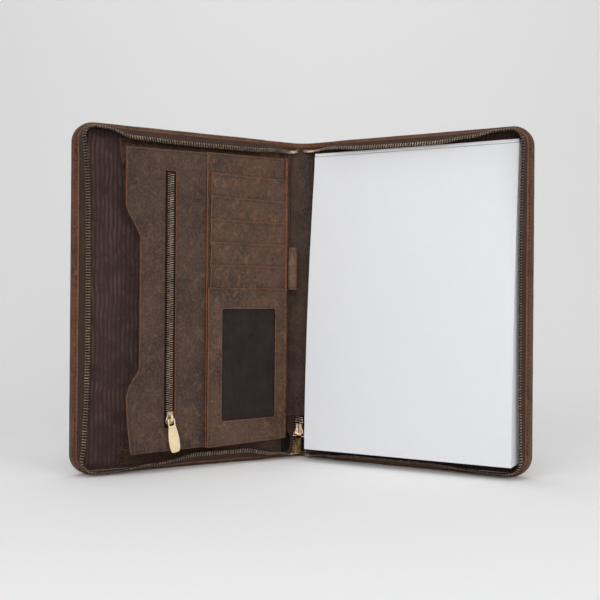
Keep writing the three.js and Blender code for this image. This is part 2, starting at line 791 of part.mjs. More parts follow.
function buildOrganizer() {
  const front = clearance + leatherThickness;
  const tapeBack = -leatherThickness - clearance - liningThickness;
  const backFace = tapeBack - plateThickness - clearance * 2;
  const seamTop = organizerTop - 1.2;
  const zipShape = [
    ...waveOutline(0),
    new THREE.Vector2(zipRight, seamTop),
    new THREE.Vector2(zipRight, organizerBottom + 0.4),
  ];
  const slotCentre = zipLeft + zipSlotInset + zipSlotWidth / 2;
  const slot = rectangle(slotCentre - zipSlotWidth / 2, zipSlotBottom, slotCentre + zipSlotWidth / 2, zipSlotTop);
  addPiece(organizer, "zip_panel", plate(zipShape, [slot], -leatherThickness, 0), finishes.leather);

  const backShape = [
    ...waveOutline(1.5),
    new THREE.Vector2(-organizerRightMargin, organizerTop - 1.5),
    new THREE.Vector2(-organizerRightMargin, organizerBottom + 1.5),
  ];
  addPiece(organizer, "organizer_lining", plate(backShape, [], backFace - liningThickness, backFace), finishes.lining);

  const windowLeft = cardLeft + windowLeftRail;
  const windowRight = -organizerRightMargin - windowRightRail;
  const windowHole = rectangle(windowLeft, windowBottom, windowRight, windowTop);
  const cardShape = [
    new THREE.Vector2(cardLeft, organizerBottom),
    new THREE.Vector2(-organizerRightMargin, organizerBottom + 1.6),
    new THREE.Vector2(-organizerRightMargin, organizerTop + 2),
    new THREE.Vector2(cardLeft, organizerTop - 1),
  ];
  addPiece(organizer, "card_panel", plate(cardShape, [], clearance, front), finishes.leather);

  const slotLeft = cardLeft + slotSideMargin;
  const slotRight = -organizerRightMargin - edgeStripWidth - clearance;
  const seat = front + clearance;
  const layerRise = slotThickness + clearance * 2;
  for (let index = 0; index < slotCount; index += 1) {
    const lip = topSlotHeight - index * slotPitch;
    const bottom = lip - slotPitch - slotTuck;
    const outline = [
      new THREE.Vector2(seat, bottom),
      new THREE.Vector2(seat + layerRise, lip),
      new THREE.Vector2(seat + layerRise + slotThickness, lip),
      new THREE.Vector2(seat + slotThickness, bottom),
    ];
    const geometry = plate(outline, [], slotLeft, slotRight);
    geometry.applyMatrix4(new THREE.Matrix4().makeBasis(
      new THREE.Vector3(0, 0, 1),
      new THREE.Vector3(0, 1, 0),
      new THREE.Vector3(1, 0, 0),
    ));
    turnInsideOut(geometry);
    addPiece(organizer, `card_slot_${index + 1}`, geometry, finishes.leather);
  }

  const meshOutline = rectangle(
    windowLeft - meshOverlap,
    windowBottom - meshOverlap,
    windowRight + meshOverlap,
    windowTop + meshOverlap,
  );
  const meshTop = seat + liningThickness;
  const frameBase = seat + slotThickness + clearance * 2;
  addPiece(organizer, "window_mesh", plate(meshOutline, [], seat, meshTop), finishes.tape);
  const frameRight = -organizerRightMargin - edgeStripWidth - clearance;
  const frameShape = [
    new THREE.Vector2(cardLeft, organizerBottom),
    new THREE.Vector2(frameRight, organizerBottom + 1.5),
    new THREE.Vector2(frameRight, frameLip),
    new THREE.Vector2(cardLeft, frameLip),
  ];
  const framePlate = plate(frameShape, [windowHole], frameBase, frameBase + leatherThickness);
  addPiece(organizer, "window_frame", framePlate, finishes.leather);

  const stripShape = [
    new THREE.Vector2(-organizerRightMargin - edgeStripWidth, organizerBottom + 1.5),
    new THREE.Vector2(-organizerRightMargin, organizerBottom + 1.6),
    new THREE.Vector2(-organizerRightMargin, organizerTop + 2),
    new THREE.Vector2(-organizerRightMargin - edgeStripWidth, organizerTop + 1.8),
  ];
  const stripTop = seat + edgeStripThickness * 2;
  addPiece(organizer, "panel_edge_strip", plate(stripShape, [], seat, stripTop), finishes.bandLeather);

  buildPocketZip(slotCentre, -leatherThickness - clearance, tapeBack);
  buildGussets(backFace - liningThickness);
}

function turnInsideOut(geometry) {
  const position = geometry.attributes.position;
  for (let i = 0; i < position.count; i += 3) {
    const [x, y, z] = [position.getX(i + 1), position.getY(i + 1), position.getZ(i + 1)];
    position.setXYZ(i + 1, position.getX(i + 2), position.getY(i + 2), position.getZ(i + 2));
    position.setXYZ(i + 2, x, y, z);
  }
}

function buildPocketZip(slotCentre, tapeFront, tapeBack) {
  const tapeBottom = zipSlotBottom - 10;
  const tapeTop = zipSlotTop + 10;
  const half = pocketTapeWidth / 2;
  const pocketSliderHeight = zipSlotBottom + pocketSliderRise;
  const notchTop = pocketSliderHeight - plateLength * 0.2 + clearance;
  const notch = postHalfWidth + clearance;
  const tapeShape = [
    new THREE.Vector2(slotCentre - half, tapeBottom),
    new THREE.Vector2(slotCentre - notch, tapeBottom),
    new THREE.Vector2(slotCentre - notch, notchTop),
    new THREE.Vector2(slotCentre + notch, notchTop),
    new THREE.Vector2(slotCentre + notch, tapeBottom),
    new THREE.Vector2(slotCentre + half, tapeBottom),
    new THREE.Vector2(slotCentre + half, tapeTop),
    new THREE.Vector2(slotCentre - half, tapeTop),
  ];
  addPiece(organizer, "pocket_zip_tape", plate(tapeShape, [], tapeBack, tapeFront), finishes.tape);
  const chainBottom = notchTop;
  const chainShape = rectangle(
    slotCentre - pocketChainWidth / 2,
    chainBottom,
    slotCentre + pocketChainWidth / 2,
    zipSlotTop - 1,
  );
  const chainFront = tapeFront + clearance + pocketChainThickness;
  addPiece(organizer, "pocket_zip_chain", plate(chainShape, [], tapeFront + clearance, chainFront), finishes.brass);

  const channel = chainFront - tapeBack + clearance * 2;
  const frame = new THREE.Group();
  frame.position.set(slotCentre, pocketSliderHeight, (chainFront + tapeBack) / 2);
  frame.quaternion.setFromRotationMatrix(new THREE.Matrix4().makeBasis(
    new THREE.Vector3(-1, 0, 0),
    new THREE.Vector3(0, 0, 1),
    new THREE.Vector3(0, 1, 0),
  ));
  organizer.add(frame);
  addPiece(frame, "pocket_slider", sliderGeometry(channel), finishes.brass);
  const pull = pullGeometry(pocketPullLength, pocketPullWidth);
  hangPull(frame, "pocket_pull", pull, channel, 0, -pocketPullLean, finishes.gold);
}

// Leather folded inwards between the organizer's back edge and the cover lining.
function buildGussets(organizerBack) {
  const steps = 8;
  const start = zipLeft + 5;
  const half = gussetThickness / 2;
  const footDepth = liningFace + clearance + gussetThickness;
  const gusset = (name, direction, foot, panelEdge, foldSlope) => {
    const rings = [];
    for (let i = 0; i <= steps; i += 1) {
      const across = THREE.MathUtils.lerp(start, -gussetInnerEnd, i / steps);
      const off = organizerBack - clearance - half;
      const pageX = -organizerFold + across * Math.cos(tilt) + off * Math.sin(tilt);
      const panelDepth = organizerFoldHeight - across * Math.sin(tilt) + off * Math.cos(tilt);
      const gap = panelDepth - footDepth;
      const fold = foot - direction * (foldSlope * gap + gussetFoldLeast);
      const line = [
        new THREE.Vector2(foot, footDepth),
        new THREE.Vector2(THREE.MathUtils.lerp(foot, fold, 0.5), footDepth + gap * 0.14),
        new THREE.Vector2(fold, footDepth + gap * 0.36),
        new THREE.Vector2(fold, footDepth + gap * 0.44),
        new THREE.Vector2(panelEdge - direction * gussetTuck, panelDepth),
      ];
      rings.push(thicken(line, gussetThickness).map((point) => new THREE.Vector3(pageX, point.x, point.y)));
    }
    addPiece(leftPage, name, loft(rings), finishes.leather);
  };
  gusset("pocket_gusset_top", 1, caseHeight - gussetFootMargin, zipPanelTop, gussetTopFold);
  gusset("pocket_gusset_bottom", -1, gussetFootMargin - hemHeight, organizerBottom, gussetBottomFold);
}

function roundedRectangle(halfWidth, halfHeight, radius) {
  const points = [];
  const steps = 4;
  const corners = [[1, 1], [-1, 1], [-1, -1], [1, -1]];
  corners.forEach(([x, y], quarter) => {
    for (let i = 0; i <= steps; i += 1) {
      const angle = (Math.PI / 2) * (quarter + i / steps);
      const across = x * (halfWidth - radius) + radius * Math.cos(angle);
      points.push(new THREE.Vector2(across, y * (halfHeight - radius) + radius * Math.sin(angle)));
    }
  });
  return points;
}

function buildPenLoop() {
  const spineFace = foldCentre + Math.sqrt(foldRadius ** 2 - loopAcross ** 2);
  const back = spineFace - liningFace - loopStandOff;
  const radius = loopDepth * 0.42;
  const outer = roundedRectangle(loopWidth / 2, loopDepth / 2, radius);
  const inner = roundedRectangle(loopWidth / 2 - loopWall, loopDepth / 2 - loopWall, radius - loopWall);
  const loopTop = caseHeight - loopTopDrop;
  const geometry = plate(outer, [inner], loopTop - loopHeight, loopTop);
  geometry.translate(loopAcross, back - loopDepth / 2, 0);
  addPiece(caseFrame, "pen_loop", geometry, finishes.bandLeather);
}

// Thickness of the pad down its height, as a share of the way from bound to fanned.
const padFan = [
  { share: 0, fan: 0 },
  { share: 0.03, fan: 0.01 },
  { share: 0.16, fan: 0.24 },
  { share: 0.36, fan: 0.54 },
  { share: 0.6, fan: 0.81 },
  { share: 0.82, fan: 0.96 },
  { share: 1, fan: 1 },
];

function buildWritingPad() {
  const backingBase = liningFace + clearance;
  const backingTop = backingBase + padBackingThickness;
  const sheet = rectangle(padInset, padBottom, padRight, padTop);
  addPiece(rightPage, "pad_backing", plate(sheet, [], backingBase, backingTop), finishes.card);

  const base = backingTop + clearance;
  const bindingLow = padTop - padBindingHeight;
  const binding = rectangle(padInset, bindingLow, padRight, padTop);
  addPiece(rightPage, "pad_binding", plate(binding, [], base, base + padBoundThickness), finishes.paper);

  const leavesTop = bindingLow - clearance;
  const rings = padFan.map((row) => {
    const height = THREE.MathUtils.lerp(leavesTop, padBottom, row.share);
    const face = base + THREE.MathUtils.lerp(padBoundThickness, padFanThickness, row.fan);
    return [
      new THREE.Vector3(padInset, height, base),
      new THREE.Vector3(padRight, height, base),
      new THREE.Vector3(padRight, height, face),
      new THREE.Vector3(padInset, height, face),
    ];
  });
  addPiece(rightPage, "writing_pad", loft(rings), finishes.paper);
}

buildCoverWrap();
buildSpineHems();
buildLinings();
for (const [side, label] of [[-1, "left"], [1, "right"]]) {
  buildZipHalf(side, label, buildRim(side, label));
}
buildMainSlider();
buildOrganizer();
buildPenLoop();
buildWritingPad();

export default part;
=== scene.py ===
import logging
import math
from dataclasses import dataclass, replace
from enum import Enum
from typing import Callable, Iterable, Sequence

import bpy
import numpy as np
from mathutils import Matrix, Vector
from mathutils.geometry import delaunay_2d_cdt


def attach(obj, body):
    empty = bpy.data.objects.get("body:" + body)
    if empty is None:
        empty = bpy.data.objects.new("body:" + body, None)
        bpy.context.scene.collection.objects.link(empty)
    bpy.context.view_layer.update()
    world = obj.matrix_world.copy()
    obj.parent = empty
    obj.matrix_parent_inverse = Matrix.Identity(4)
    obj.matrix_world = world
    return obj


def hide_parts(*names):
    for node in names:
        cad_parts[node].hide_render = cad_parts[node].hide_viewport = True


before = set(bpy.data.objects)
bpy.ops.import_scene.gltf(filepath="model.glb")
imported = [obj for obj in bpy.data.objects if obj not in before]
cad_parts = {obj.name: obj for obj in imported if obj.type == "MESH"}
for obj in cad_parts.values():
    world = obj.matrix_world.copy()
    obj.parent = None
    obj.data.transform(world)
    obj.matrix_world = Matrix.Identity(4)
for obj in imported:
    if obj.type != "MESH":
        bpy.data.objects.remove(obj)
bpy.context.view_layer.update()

LOG = logging.getLogger("document_case")
MM = 0.001
Place = Callable[[np.ndarray], np.ndarray]
Relief = Callable[[np.ndarray, np.ndarray], np.ndarray]
Colour = tuple[float, float, float, float]
FAR_FROM_EDGE = 9.0


# Case sizes and places, in millimetres as on the drawing


@dataclass(frozen=True)
class CaseSizes:
    """Driving sizes that the whole case shares, in millimetres."""

    height: float = 323.0
    cover: float = 227.2
    spine: float = 25.0
    half_angle: float = math.radians(29)
    corner: float = 19.0
    wall: float = 3.2
    gap: float = 0.3
    band: float = 1.9
    hem: float = 5.1

    @property
    def half_spine(self) -> float:
        """Half the spine's width, straight across."""
        return self.spine / 2

    @property
    def fold_radius(self) -> float:
        """Radius of the spine's curve."""
        return self.half_spine / math.sin(self.half_angle)

    @property
    def fold_centre(self) -> float:
        """Place of the spine curve's centre in front of the fold line."""
        return -self.fold_radius * math.cos(self.half_angle)

    @property
    def spine_arc(self) -> float:
        """Half the length of the spine's curve."""
        return self.fold_radius * self.half_angle

    @property
    def set_back(self) -> float:
        """How far the fold line lies in front of the origin."""
        return self.fold_radius + self.fold_centre + self.wall / 2

    @property
    def board_inset(self) -> float:
        """From the rim's outer face to the edge of the cover wrap."""
        return self.band + self.gap


CASE = CaseSizes()
LINING_FACE = CASE.gap + 1.0


def page_place(side: int) -> Place:
    """Gives the mapping of a cover's own places to the row frame.

    Args:
        side: -1 for the left cover and 1 for the right one.

    Returns:
        A function of rows (across, height, depth) in millimetres, across being
        negative outwards on the left cover.
    """
    sine, cosine = math.sin(CASE.half_angle), math.cos(CASE.half_angle)

    def place(rows: np.ndarray) -> np.ndarray:
        """Turns the cover's own rows about its fold."""
        across, height, depth = rows.T
        x = side * CASE.half_spine + across * cosine - side * depth * sine
        y = -side * across * sine - depth * cosine - CASE.set_back
        return np.stack([x, y, height], 1)

    return place


def fold_place(rows: np.ndarray) -> np.ndarray:
    """Maps rows (distance along the unrolled wrap, height, depth) to the row frame."""
    along, height, depth = rows.T
    beyond = np.abs(along) - CASE.spine_arc
    angle = np.clip(along, -CASE.spine_arc, CASE.spine_arc) / CASE.fold_radius
    radius = CASE.fold_radius - depth
    on_spine = np.stack(
        [radius * np.sin(angle), CASE.fold_centre + radius * np.cos(angle) - CASE.set_back, height], 1
    )
    out = np.where(beyond > 0, beyond, 0)
    side = np.sign(along)
    on_cover = on_spine.copy()
    on_cover[:, 0] += side * out * math.cos(CASE.half_angle)
    on_cover[:, 1] -= out * math.sin(CASE.half_angle)
    return np.where((beyond > 0)[:, None], on_cover, on_spine)


@dataclass(frozen=True)
class OrganizerSizes:
    """Sizes of the organizer on the left cover, in millimetres."""

    tilt: float = math.radians(8.75)
    fold: float = 5.0
    fold_height: float = 7.3
    bottom: float = 19.8
    top: float = CASE.height - 20.2
    width: float = CASE.cover - 42.7
    zip_top: float = CASE.height - 20.2 - 4.1
    card_width: float = 95.5
    right_margin: float = 4.1
    leather: float = 1.4
    lining: float = 1.0

    @property
    def card_left(self) -> float:
        """Left edge of the card panel."""
        return -(self.right_margin + self.card_width)

    @property
    def zip_left(self) -> float:
        """Left edge of the zip panel."""
        return -self.width

    @property
    def tape_back(self) -> float:
        """Back face of the pocket zip's tape."""
        return -self.leather - CASE.gap - self.lining

    @property
    def back(self) -> float:
        """Front face of the organizer's back lining."""
        return self.tape_back - 1.1 - 2 * CASE.gap


ORGANIZER = OrganizerSizes()


def organizer_place(rows: np.ndarray) -> np.ndarray:
    """Maps rows (across from the organizer's fold, height, off its face) to the row frame."""
    across, height, off = rows.T
    sine, cosine = math.sin(ORGANIZER.tilt), math.cos(ORGANIZER.tilt)
    page = np.stack(
        [
            across * cosine + off * sine - ORGANIZER.fold,
            height,
            off * cosine - across * sine + ORGANIZER.fold_height,
        ],
        1,
    )
    return page_place(-1)(page)


# Meshes


def smooth_noise(rows: np.ndarray, period: float, seed: int) -> np.ndarray:
    """Gives soft irregular values between -1 and 1.

    Args:
        rows: Points, one to a row, in millimetres.
        period: Rough size of the bumps in millimetres.
        seed: Picks another pattern.

    Returns:
        One value for each point.
    """
    draw = np.random.default_rng(seed)
    total = np.zeros(len(rows))
    waves = 7
    for _ in range(waves):
        direction = draw.normal(size=rows.shape[1])
        direction /= np.linalg.norm(direction)
        rate = 2 * math.pi / (period * draw.uniform(0.7, 1.9))
        total += np.sin(rows @ direction * rate + draw.uniform(0, 2 * math.pi))
    return total / waves * 1.6


def swells(rows: np.ndarray, *layers: tuple[float, int, float]) -> np.ndarray:
    """Adds up soft noise in layers of period, seed and height."""
    return sum(smooth_noise(rows, period, seed) * height for period, seed, height in layers)


def hump(values: np.ndarray, width: float) -> np.ndarray:
    """Gives a soft hump that is 1 where the values are 0 and falls off over a width."""
    return np.exp(-((values / width) ** 2))


def ribbed(pitch: float, depth: float) -> Relief:
    """Gives the face of cloth with even upright ribs."""
    return lambda flat, away: (np.sin(flat[:, 0] * 2 * math.pi / pitch) - 1) * depth * np.minimum(away, 1)


def run_along(line: np.ndarray) -> np.ndarray:
    """Gives how far along an open line each of its points lies."""
    steps = np.linalg.norm(np.diff(line, axis=0), axis=1)
    return np.concatenate([[0], np.cumsum(steps)])


def row_at(rows: np.ndarray, along: np.ndarray, value: float) -> np.ndarray:
    """Reads rows of values at one place along their line."""
    return np.array([np.interp(value, along, column) for column in rows.T])


def curve_point(corners: Sequence[np.ndarray], share: float) -> np.ndarray:
    """Gives the point at a share of the smooth curve between the middle two of four points."""
    before, start, end, beyond = corners
    bend = 2 * before - 5 * start + 4 * end - beyond
    twist = 3 * start - before - 3 * end + beyond
    return 0.5 * (2 * start + (end - before) * share + bend * share**2 + twist * share**3)


def skin(count: int, size: int, closed: bool = False, first: int = 0) -> list[tuple[int, ...]]:
    """Gives the faces over rings of points, capped at both ends unless the rings close.

    Args:
        count: Number of rings.
        size: Points in each ring.
        closed: Whether the last ring joins the first one.
        first: Number of the first point.

    Returns:
        Faces as rows of point numbers.
    """
    faces: list[tuple[int, ...]] = []
    if not closed:
        last = first + (count - 1) * size
        faces += [tuple(range(first, first + size))[::-1], tuple(range(last, last + size))]
    for ring in range(count if closed else count - 1):
        here, there = first + ring * size, first + (ring + 1) % count * size
        for i in range(size):
            j = (i + 1) % size
            faces.append((here + i, here + j, there + j, there + i))
    return faces


def add_mesh(
    name: str,
    points: np.ndarray,
    faces: Sequence[Sequence[int]],
    hide: np.ndarray,
    sharp: float = 38.0,
) -> bpy.types.Object:
    """Makes a mesh object in the row frame.

    Args:
        name: Name of the piece.
        points: Vertices in millimetres.
        faces: Faces as rows of vertex numbers.
        hide: Place on the hide or cloth for each vertex, and its distance from the cut edge.
        sharp: Edges that turn by more degrees than this stay crisp.

    Returns:
        The new object.
    """
    mesh = bpy.data.meshes.new(name)
    mesh.from_pydata((points * MM).tolist(), [], [list(face) for face in faces])
    attribute = mesh.attributes.new("hide", "FLOAT_VECTOR", "POINT")
    attribute.data.foreach_set("vector", np.asarray(hide, np.float32).ravel())
    mesh.validate()
    if signed_volume(mesh) < 0:
        mesh.flip_normals()
    mesh.shade_smooth()
    mesh.set_sharp_from_angle(angle=math.radians(sharp))
    made = bpy.data.objects.new(name, mesh)
    bpy.context.scene.collection.objects.link(made)
    return made


def signed_volume(mesh: bpy.types.Mesh) -> float:
    """Gives the volume that a closed mesh's faces enclose, negative if they point inwards."""
    mesh.calc_loop_triangles()
    corners = np.empty(len(mesh.loop_triangles) * 3, np.int32)
    mesh.loop_triangles.foreach_get("vertices", corners)
    points = np.empty(len(mesh.vertices) * 3, np.float32)
    mesh.vertices.foreach_get("co", points)
    a, b, c = points.reshape(-1, 3).astype(float)[corners.reshape(-1, 3)].transpose(1, 0, 2)
    return float((a * np.cross(b, c)).sum())


def resample(loop: np.ndarray, spacing: float, closed: bool = True) -> np.ndarray:
    """Puts points along a line at a spacing, keeping its corners."""
    ends = np.roll(loop, -1, 0) if closed else loop[1:]
    rows = []
    for start, end in zip(loop, ends):
        steps = max(1, round(float(np.linalg.norm(end - start)) / spacing))
        rows.extend(start + (end - start) * step / steps for step in range(steps))
    if not closed:
        rows.append(loop[-1])
    return np.array(rows)


def split(line: np.ndarray, counts: Sequence[int]) -> np.ndarray:
    """Splits each stretch of an open line into its own number of steps."""
    rows = []
    for start, end, count in zip(line, line[1:], counts):
        rows.extend(start + (end - start) * step / count for step in range(count))
    rows.append(line[-1])
    return np.array(rows)


def edge_distance(points: np.ndarray, loops: Sequence[np.ndarray]) -> np.ndarray:
    """Gives each flat point's distance to the nearest of the loops."""
    nearest = np.full(len(points), np.inf)
    for loop in loops:
        start, end = loop, np.roll(loop, -1, 0)
        run = end - start
        length = np.maximum((run * run).sum(1), 1e-12)
        for first in range(0, len(points), 2000):
            part = points[first : first + 2000]
            share = np.clip(((part[:, None] - start) * run).sum(2) / length, 0, 1)
            away = np.linalg.norm(part[:, None] - (start + run * share[..., None]), axis=2)
            nearest[first : first + 2000] = np.minimum(nearest[first : first + 2000], away.min(1))
    return nearest


def within(points: np.ndarray, loop: np.ndarray) -> np.ndarray:
    """Says which flat points lie inside a closed loop."""
    start, end = loop, np.roll(loop, -1, 0)
    x, y = points[:, :1], points[:, 1:]
    crosses = (start[:, 1] > y) != (end[:, 1] > y)
    rise = np.where(end[:, 1] == start[:, 1], 1e-12, end[:, 1] - start[:, 1])
    meet = start[:, 0] + (y - start[:, 1]) / rise * (end[:, 0] - start[:, 0])
    return ((crosses & (x < meet)).sum(1) % 2) == 1


def inset(loop: np.ndarray, distance: float) -> np.ndarray:
    """Moves a counter-clockwise loop inwards, or a clockwise one outwards."""
    before = loop - np.roll(loop, 1, 0)
    after = np.roll(loop, -1, 0) - loop
    before /= np.linalg.norm(before, axis=1, keepdims=True)
    after /= np.linalg.norm(after, axis=1, keepdims=True)
    along = before + after
    along /= np.maximum(np.linalg.norm(along, axis=1, keepdims=True), 1e-9)
    normal = np.stack([-along[:, 1], along[:, 0]], 1)
    spread = np.maximum((along * after).sum(1, keepdims=True), 0.5)
    return loop + normal * distance / spread


def twice_area(loop: np.ndarray) -> float:
    """Gives twice the area of a flat loop, negative where it runs clockwise."""
    x, y = loop.T
    return float((x * np.roll(y, -1) - np.roll(x, -1) * y).sum())


def turned(loop: np.ndarray, counter: bool) -> np.ndarray:
    """Gives a loop that runs counter-clockwise, or clockwise."""
    return loop if (twice_area(loop) > 0) == counter else loop[::-1]


@dataclass
class Cut:
    """A panel cut from hide, cloth, metal or board, with shaped faces.

    The outline and holes are flat points in millimetres. The faces are shaped by
    relief, and the whole is laid into the row frame by place.
    """

    name: str
    outline: np.ndarray
    place: Place
    thickness: float
    face: float = 0.0
    holes: Sequence[np.ndarray] = ()
    spacing: float | tuple[float, float] = 4.0
    edge_spacing: float = 2.5
    round_edge: float = 0.5
    rings: Sequence[float] = (0.3, 0.8, 1.8)
    relief: Relief | None = None
    under: Relief | None = None
    hide_shift: tuple[float, float] = (0.0, 0.0)
    sharp: float = 50.0

    def build(self) -> bpy.types.Object:
        """Cuts the panel, shapes its faces and lays it in place."""
        loops = [turned(resample(self.outline, self.edge_spacing), True)]
        loops += [turned(resample(hole, self.edge_spacing), False) for hole in self.holes]
        flat, triangles = self.triangulate(loops)
        away = edge_distance(flat, loops)
        drop = self.rolled(away)
        front = self.face - drop + (self.relief(flat, away) if self.relief else 0)
        back = self.face - self.thickness + drop + (self.under(flat, away) if self.under else 0)
        middle = (front + back) / 2
        front, back = np.maximum(front, middle + 0.05), np.minimum(back, middle - 0.05)
        rows = np.concatenate([np.column_stack([flat, front]), np.column_stack([flat, back])])
        points = self.place(rows)
        faces = [tuple(face) for face in triangles]
        count = len(flat)
        faces += [(c + count, b + count, a + count) for a, b, c in triangles]
        faces += [(a, a + count, b + count, b) for a, b in self.border(triangles)]
        hide = np.column_stack([flat + np.array(self.hide_shift), away])
        return add_mesh(self.name, points, faces, np.concatenate([hide, hide]), self.sharp)

    def rolled(self, away: np.ndarray) -> np.ndarray:
        """Gives how far a face falls towards its rounded edge."""
        radius = min(self.round_edge, self.thickness / 2 - 0.05)
        short = np.clip(radius - away, 0, radius)
        return radius - np.sqrt(np.maximum(radius**2 - short**2, 0))

    def triangulate(self, loops: Sequence[np.ndarray]) -> tuple[np.ndarray, np.ndarray]:
        """Fills the outline with triangles, close together along the edges.

        Args:
            loops: The outline, counter-clockwise, and the holes, clockwise.

        Returns:
            The flat points, and the triangles as rows of point numbers.
        """
        low, high = loops[0].min(0), loops[0].max(0)
        points = list(loops)
        edges = []
        start = 0
        for loop in loops:
            count = len(loop)
            edges += [(start + i, start + (i + 1) % count) for i in range(count)]
            start += count
        for ring in self.rings:
            for loop in loops:
                row = inset(loop, ring)
                keep = (edge_distance(row, loops) > ring * 0.85) & self.inside(row, loops)
                points.append(row[keep])
        spacing = np.broadcast_to(np.asarray(self.spacing, float), 2)
        counts = np.maximum(((high - low) / spacing).astype(int), 1)
        xs = low[0] + (np.arange(counts[0]) + 0.5) * (high[0] - low[0]) / counts[0]
        ys = low[1] + (np.arange(counts[1]) + 0.5) * (high[1] - low[1]) / counts[1]
        grid = np.stack(np.meshgrid(xs, ys), -1).reshape(-1, 2)
        clear = edge_distance(grid, loops) > max(self.rings) + spacing.min() * 0.35
        points.append(grid[clear & self.inside(grid, loops)])
        flat = np.concatenate(points)
        made = delaunay_2d_cdt([Vector(point) for point in flat], edges, [], 0, 1e-5)
        flat = np.array([tuple(point) for point in made[0]])
        triangles = np.array([face for face in made[2] if len(face) == 3])
        middle = flat[triangles].mean(1)
        return flat, triangles[self.inside(middle, loops)]

    @staticmethod
    def inside(points: np.ndarray, loops: Sequence[np.ndarray]) -> np.ndarray:
        """Says which points lie in the outline and in no hole."""
        kept = within(points, loops[0])
        for hole in loops[1:]:
            kept &= ~within(points, hole)
        return kept

    @staticmethod
    def border(triangles: np.ndarray) -> list[tuple[int, int]]:
        """Gives the directed edges that only one triangle uses."""
        edges = np.concatenate([triangles[:, [0, 1]], triangles[:, [1, 2]], triangles[:, [2, 0]]])
        used = {(int(a), int(b)) for a, b in edges}
        return [(a, b) for a, b in used if (b, a) not in used]


def loft(
    name: str,
    rings: np.ndarray,
    hide: np.ndarray,
    closed: bool = False,
    sharp: float = 50.0,
) -> bpy.types.Object:
    """Makes a skin over rings of points.

    Args:
        name: Name of the piece.
        rings: Array of rings by points by 3, in millimetres.
        hide: Place on the hide for each point, in the same layout.
        closed: Whether the last ring joins the first one.
        sharp: Edges that turn by more degrees than this stay crisp.

    Returns:
        The new object.
    """
    faces = skin(*rings.shape[:2], closed)
    return add_mesh(name, rings.reshape(-1, 3), faces, hide.reshape(-1, 3), sharp)


def rectangle(left: float, bottom: float, right: float, top: float) -> np.ndarray:
    """Gives a rectangle's corners, counter-clockwise."""
    return np.array([(left, bottom), (right, bottom), (right, top), (left, top)], float)


def rounded(left: float, bottom: float, right: float, top: float, radii: Sequence[float]) -> np.ndarray:
    """Gives a rectangle with its own radius at each corner.

    Args:
        left: Left side.
        bottom: Bottom side.
        right: Right side.
        top: Top side.
        radii: Radii at bottom left, bottom right, top right and top left.

    Returns:
        The loop's points, counter-clockwise.
    """
    corners = [(left, bottom, 1, 1), (right, bottom, -1, 1), (right, top, -1, -1), (left, top, 1, -1)]
    points = []
    for quarter, ((x, y, toward_x, toward_y), radius) in enumerate(zip(corners, radii)):
        steps = 8 if radius > 3 else 4
        if radius <= 0:
            points.append((x, y))
            continue
        for step in range(steps + 1):
            angle = math.pi + (quarter + step / steps) * math.pi / 2
            across, up = radius * math.cos(angle), radius * math.sin(angle)
            points.append((x + toward_x * radius + across, y + toward_y * radius + up))
    return np.array(points)


def join_parts(name: str, parts: Iterable[tuple[np.ndarray, list[tuple[int, ...]]]]) -> bpy.types.Object:
    """Joins many small closed meshes into one object.

    Args:
        name: Name of the piece.
        parts: Points in millimetres and faces of each small mesh.

    Returns:
        The new object.
    """
    points, faces, start = [], [], 0
    for own_points, own_faces in parts:
        points.append(own_points)
        faces += [tuple(start + i for i in face) for face in own_faces]
        start += len(own_points)
    stacked = np.concatenate(points)
    return add_mesh(name, stacked, faces, stacked, 42.0)


@dataclass(frozen=True)
class Thread:
    """Sewing thread and the way its stitches lie."""

    pitch: float = 3.6
    length: float = 2.7
    radius: float = 0.24
    rise: float = 0.26

    def stitch(self, start: np.ndarray, end: np.ndarray, normal: np.ndarray) -> tuple[np.ndarray, list]:
        """Gives the small mesh of one stitch between two holes."""
        along = end - start
        along /= np.linalg.norm(along)
        side = np.cross(along, normal)
        points = []
        sides = 6
        shape = ((0, -0.7, 0.7), (0.16, 0.5, 1.0), (0.84, 0.5, 1.0), (1, -0.7, 0.7))
        for share, lift, size in shape:
            middle = start + (end - start) * share + normal * self.rise * lift
            for i in range(sides):
                angle = 2 * math.pi * i / sides
                spoke = side * math.cos(angle) + normal * math.sin(angle)
                points.append(middle + spoke * self.radius * size)
        return np.array(points), skin(len(shape), sides)

    def starts(self, length: float) -> np.ndarray:
        """Gives where each stitch starts along a seam of a length."""
        count = max(int(length / self.pitch), 1)
        pitch = length / count
        return np.arange(count) * pitch + (pitch - self.length) / 2

    def row(self, line: np.ndarray, place: Place, face: float) -> list[tuple[np.ndarray, list]]:
        """Sews along an open flat line.

        Args:
            line: Flat points of the seam in millimetres.
            place: Lays flat rows into the row frame.
            face: Height of the sewn face in place's third value.

        Returns:
            The small meshes of the stitches.
        """
        fine = resample(line, 0.5, closed=False)
        along = run_along(fine)
        made = []
        for value in self.starts(along[-1]):
            flat = np.array([row_at(fine, along, at) for at in (value, value + self.length)])
            low = place(np.column_stack([flat, [face, face]]))
            high = place(np.column_stack([flat, [face + 1, face + 1]]))
            normal = (high - low).mean(0)
            made.append(self.stitch(low[0], low[1], normal / np.linalg.norm(normal)))
        return made


# Finishes


class Finish(Enum):
    """The case's finishes, each with its own material and record slot."""

    LEATHER = "distressed_leather"
    RIM = "rim_leather"
    SUEDE = "spine_suede"
    LINING = "lining_cloth"
    TAPE = "zip_tape"
    MESH = "window_mesh"
    BRASS = "antique_brass"
    GOLD = "light_gold"
    PAPER = "pad_paper"
    BOARD = "backing_board"


def colour(red: float, green: float, blue: float) -> Colour:
    """Turns a screen colour from 0 to 255 into a linear one."""

    def linear(value: float) -> float:
        """Turns one value of the screen colour into a linear one."""
        share = value / 255
        return share / 12.92 if share <= 0.04045 else ((share + 0.055) / 1.055) ** 2.4

    return linear(red), linear(green), linear(blue), 1.0


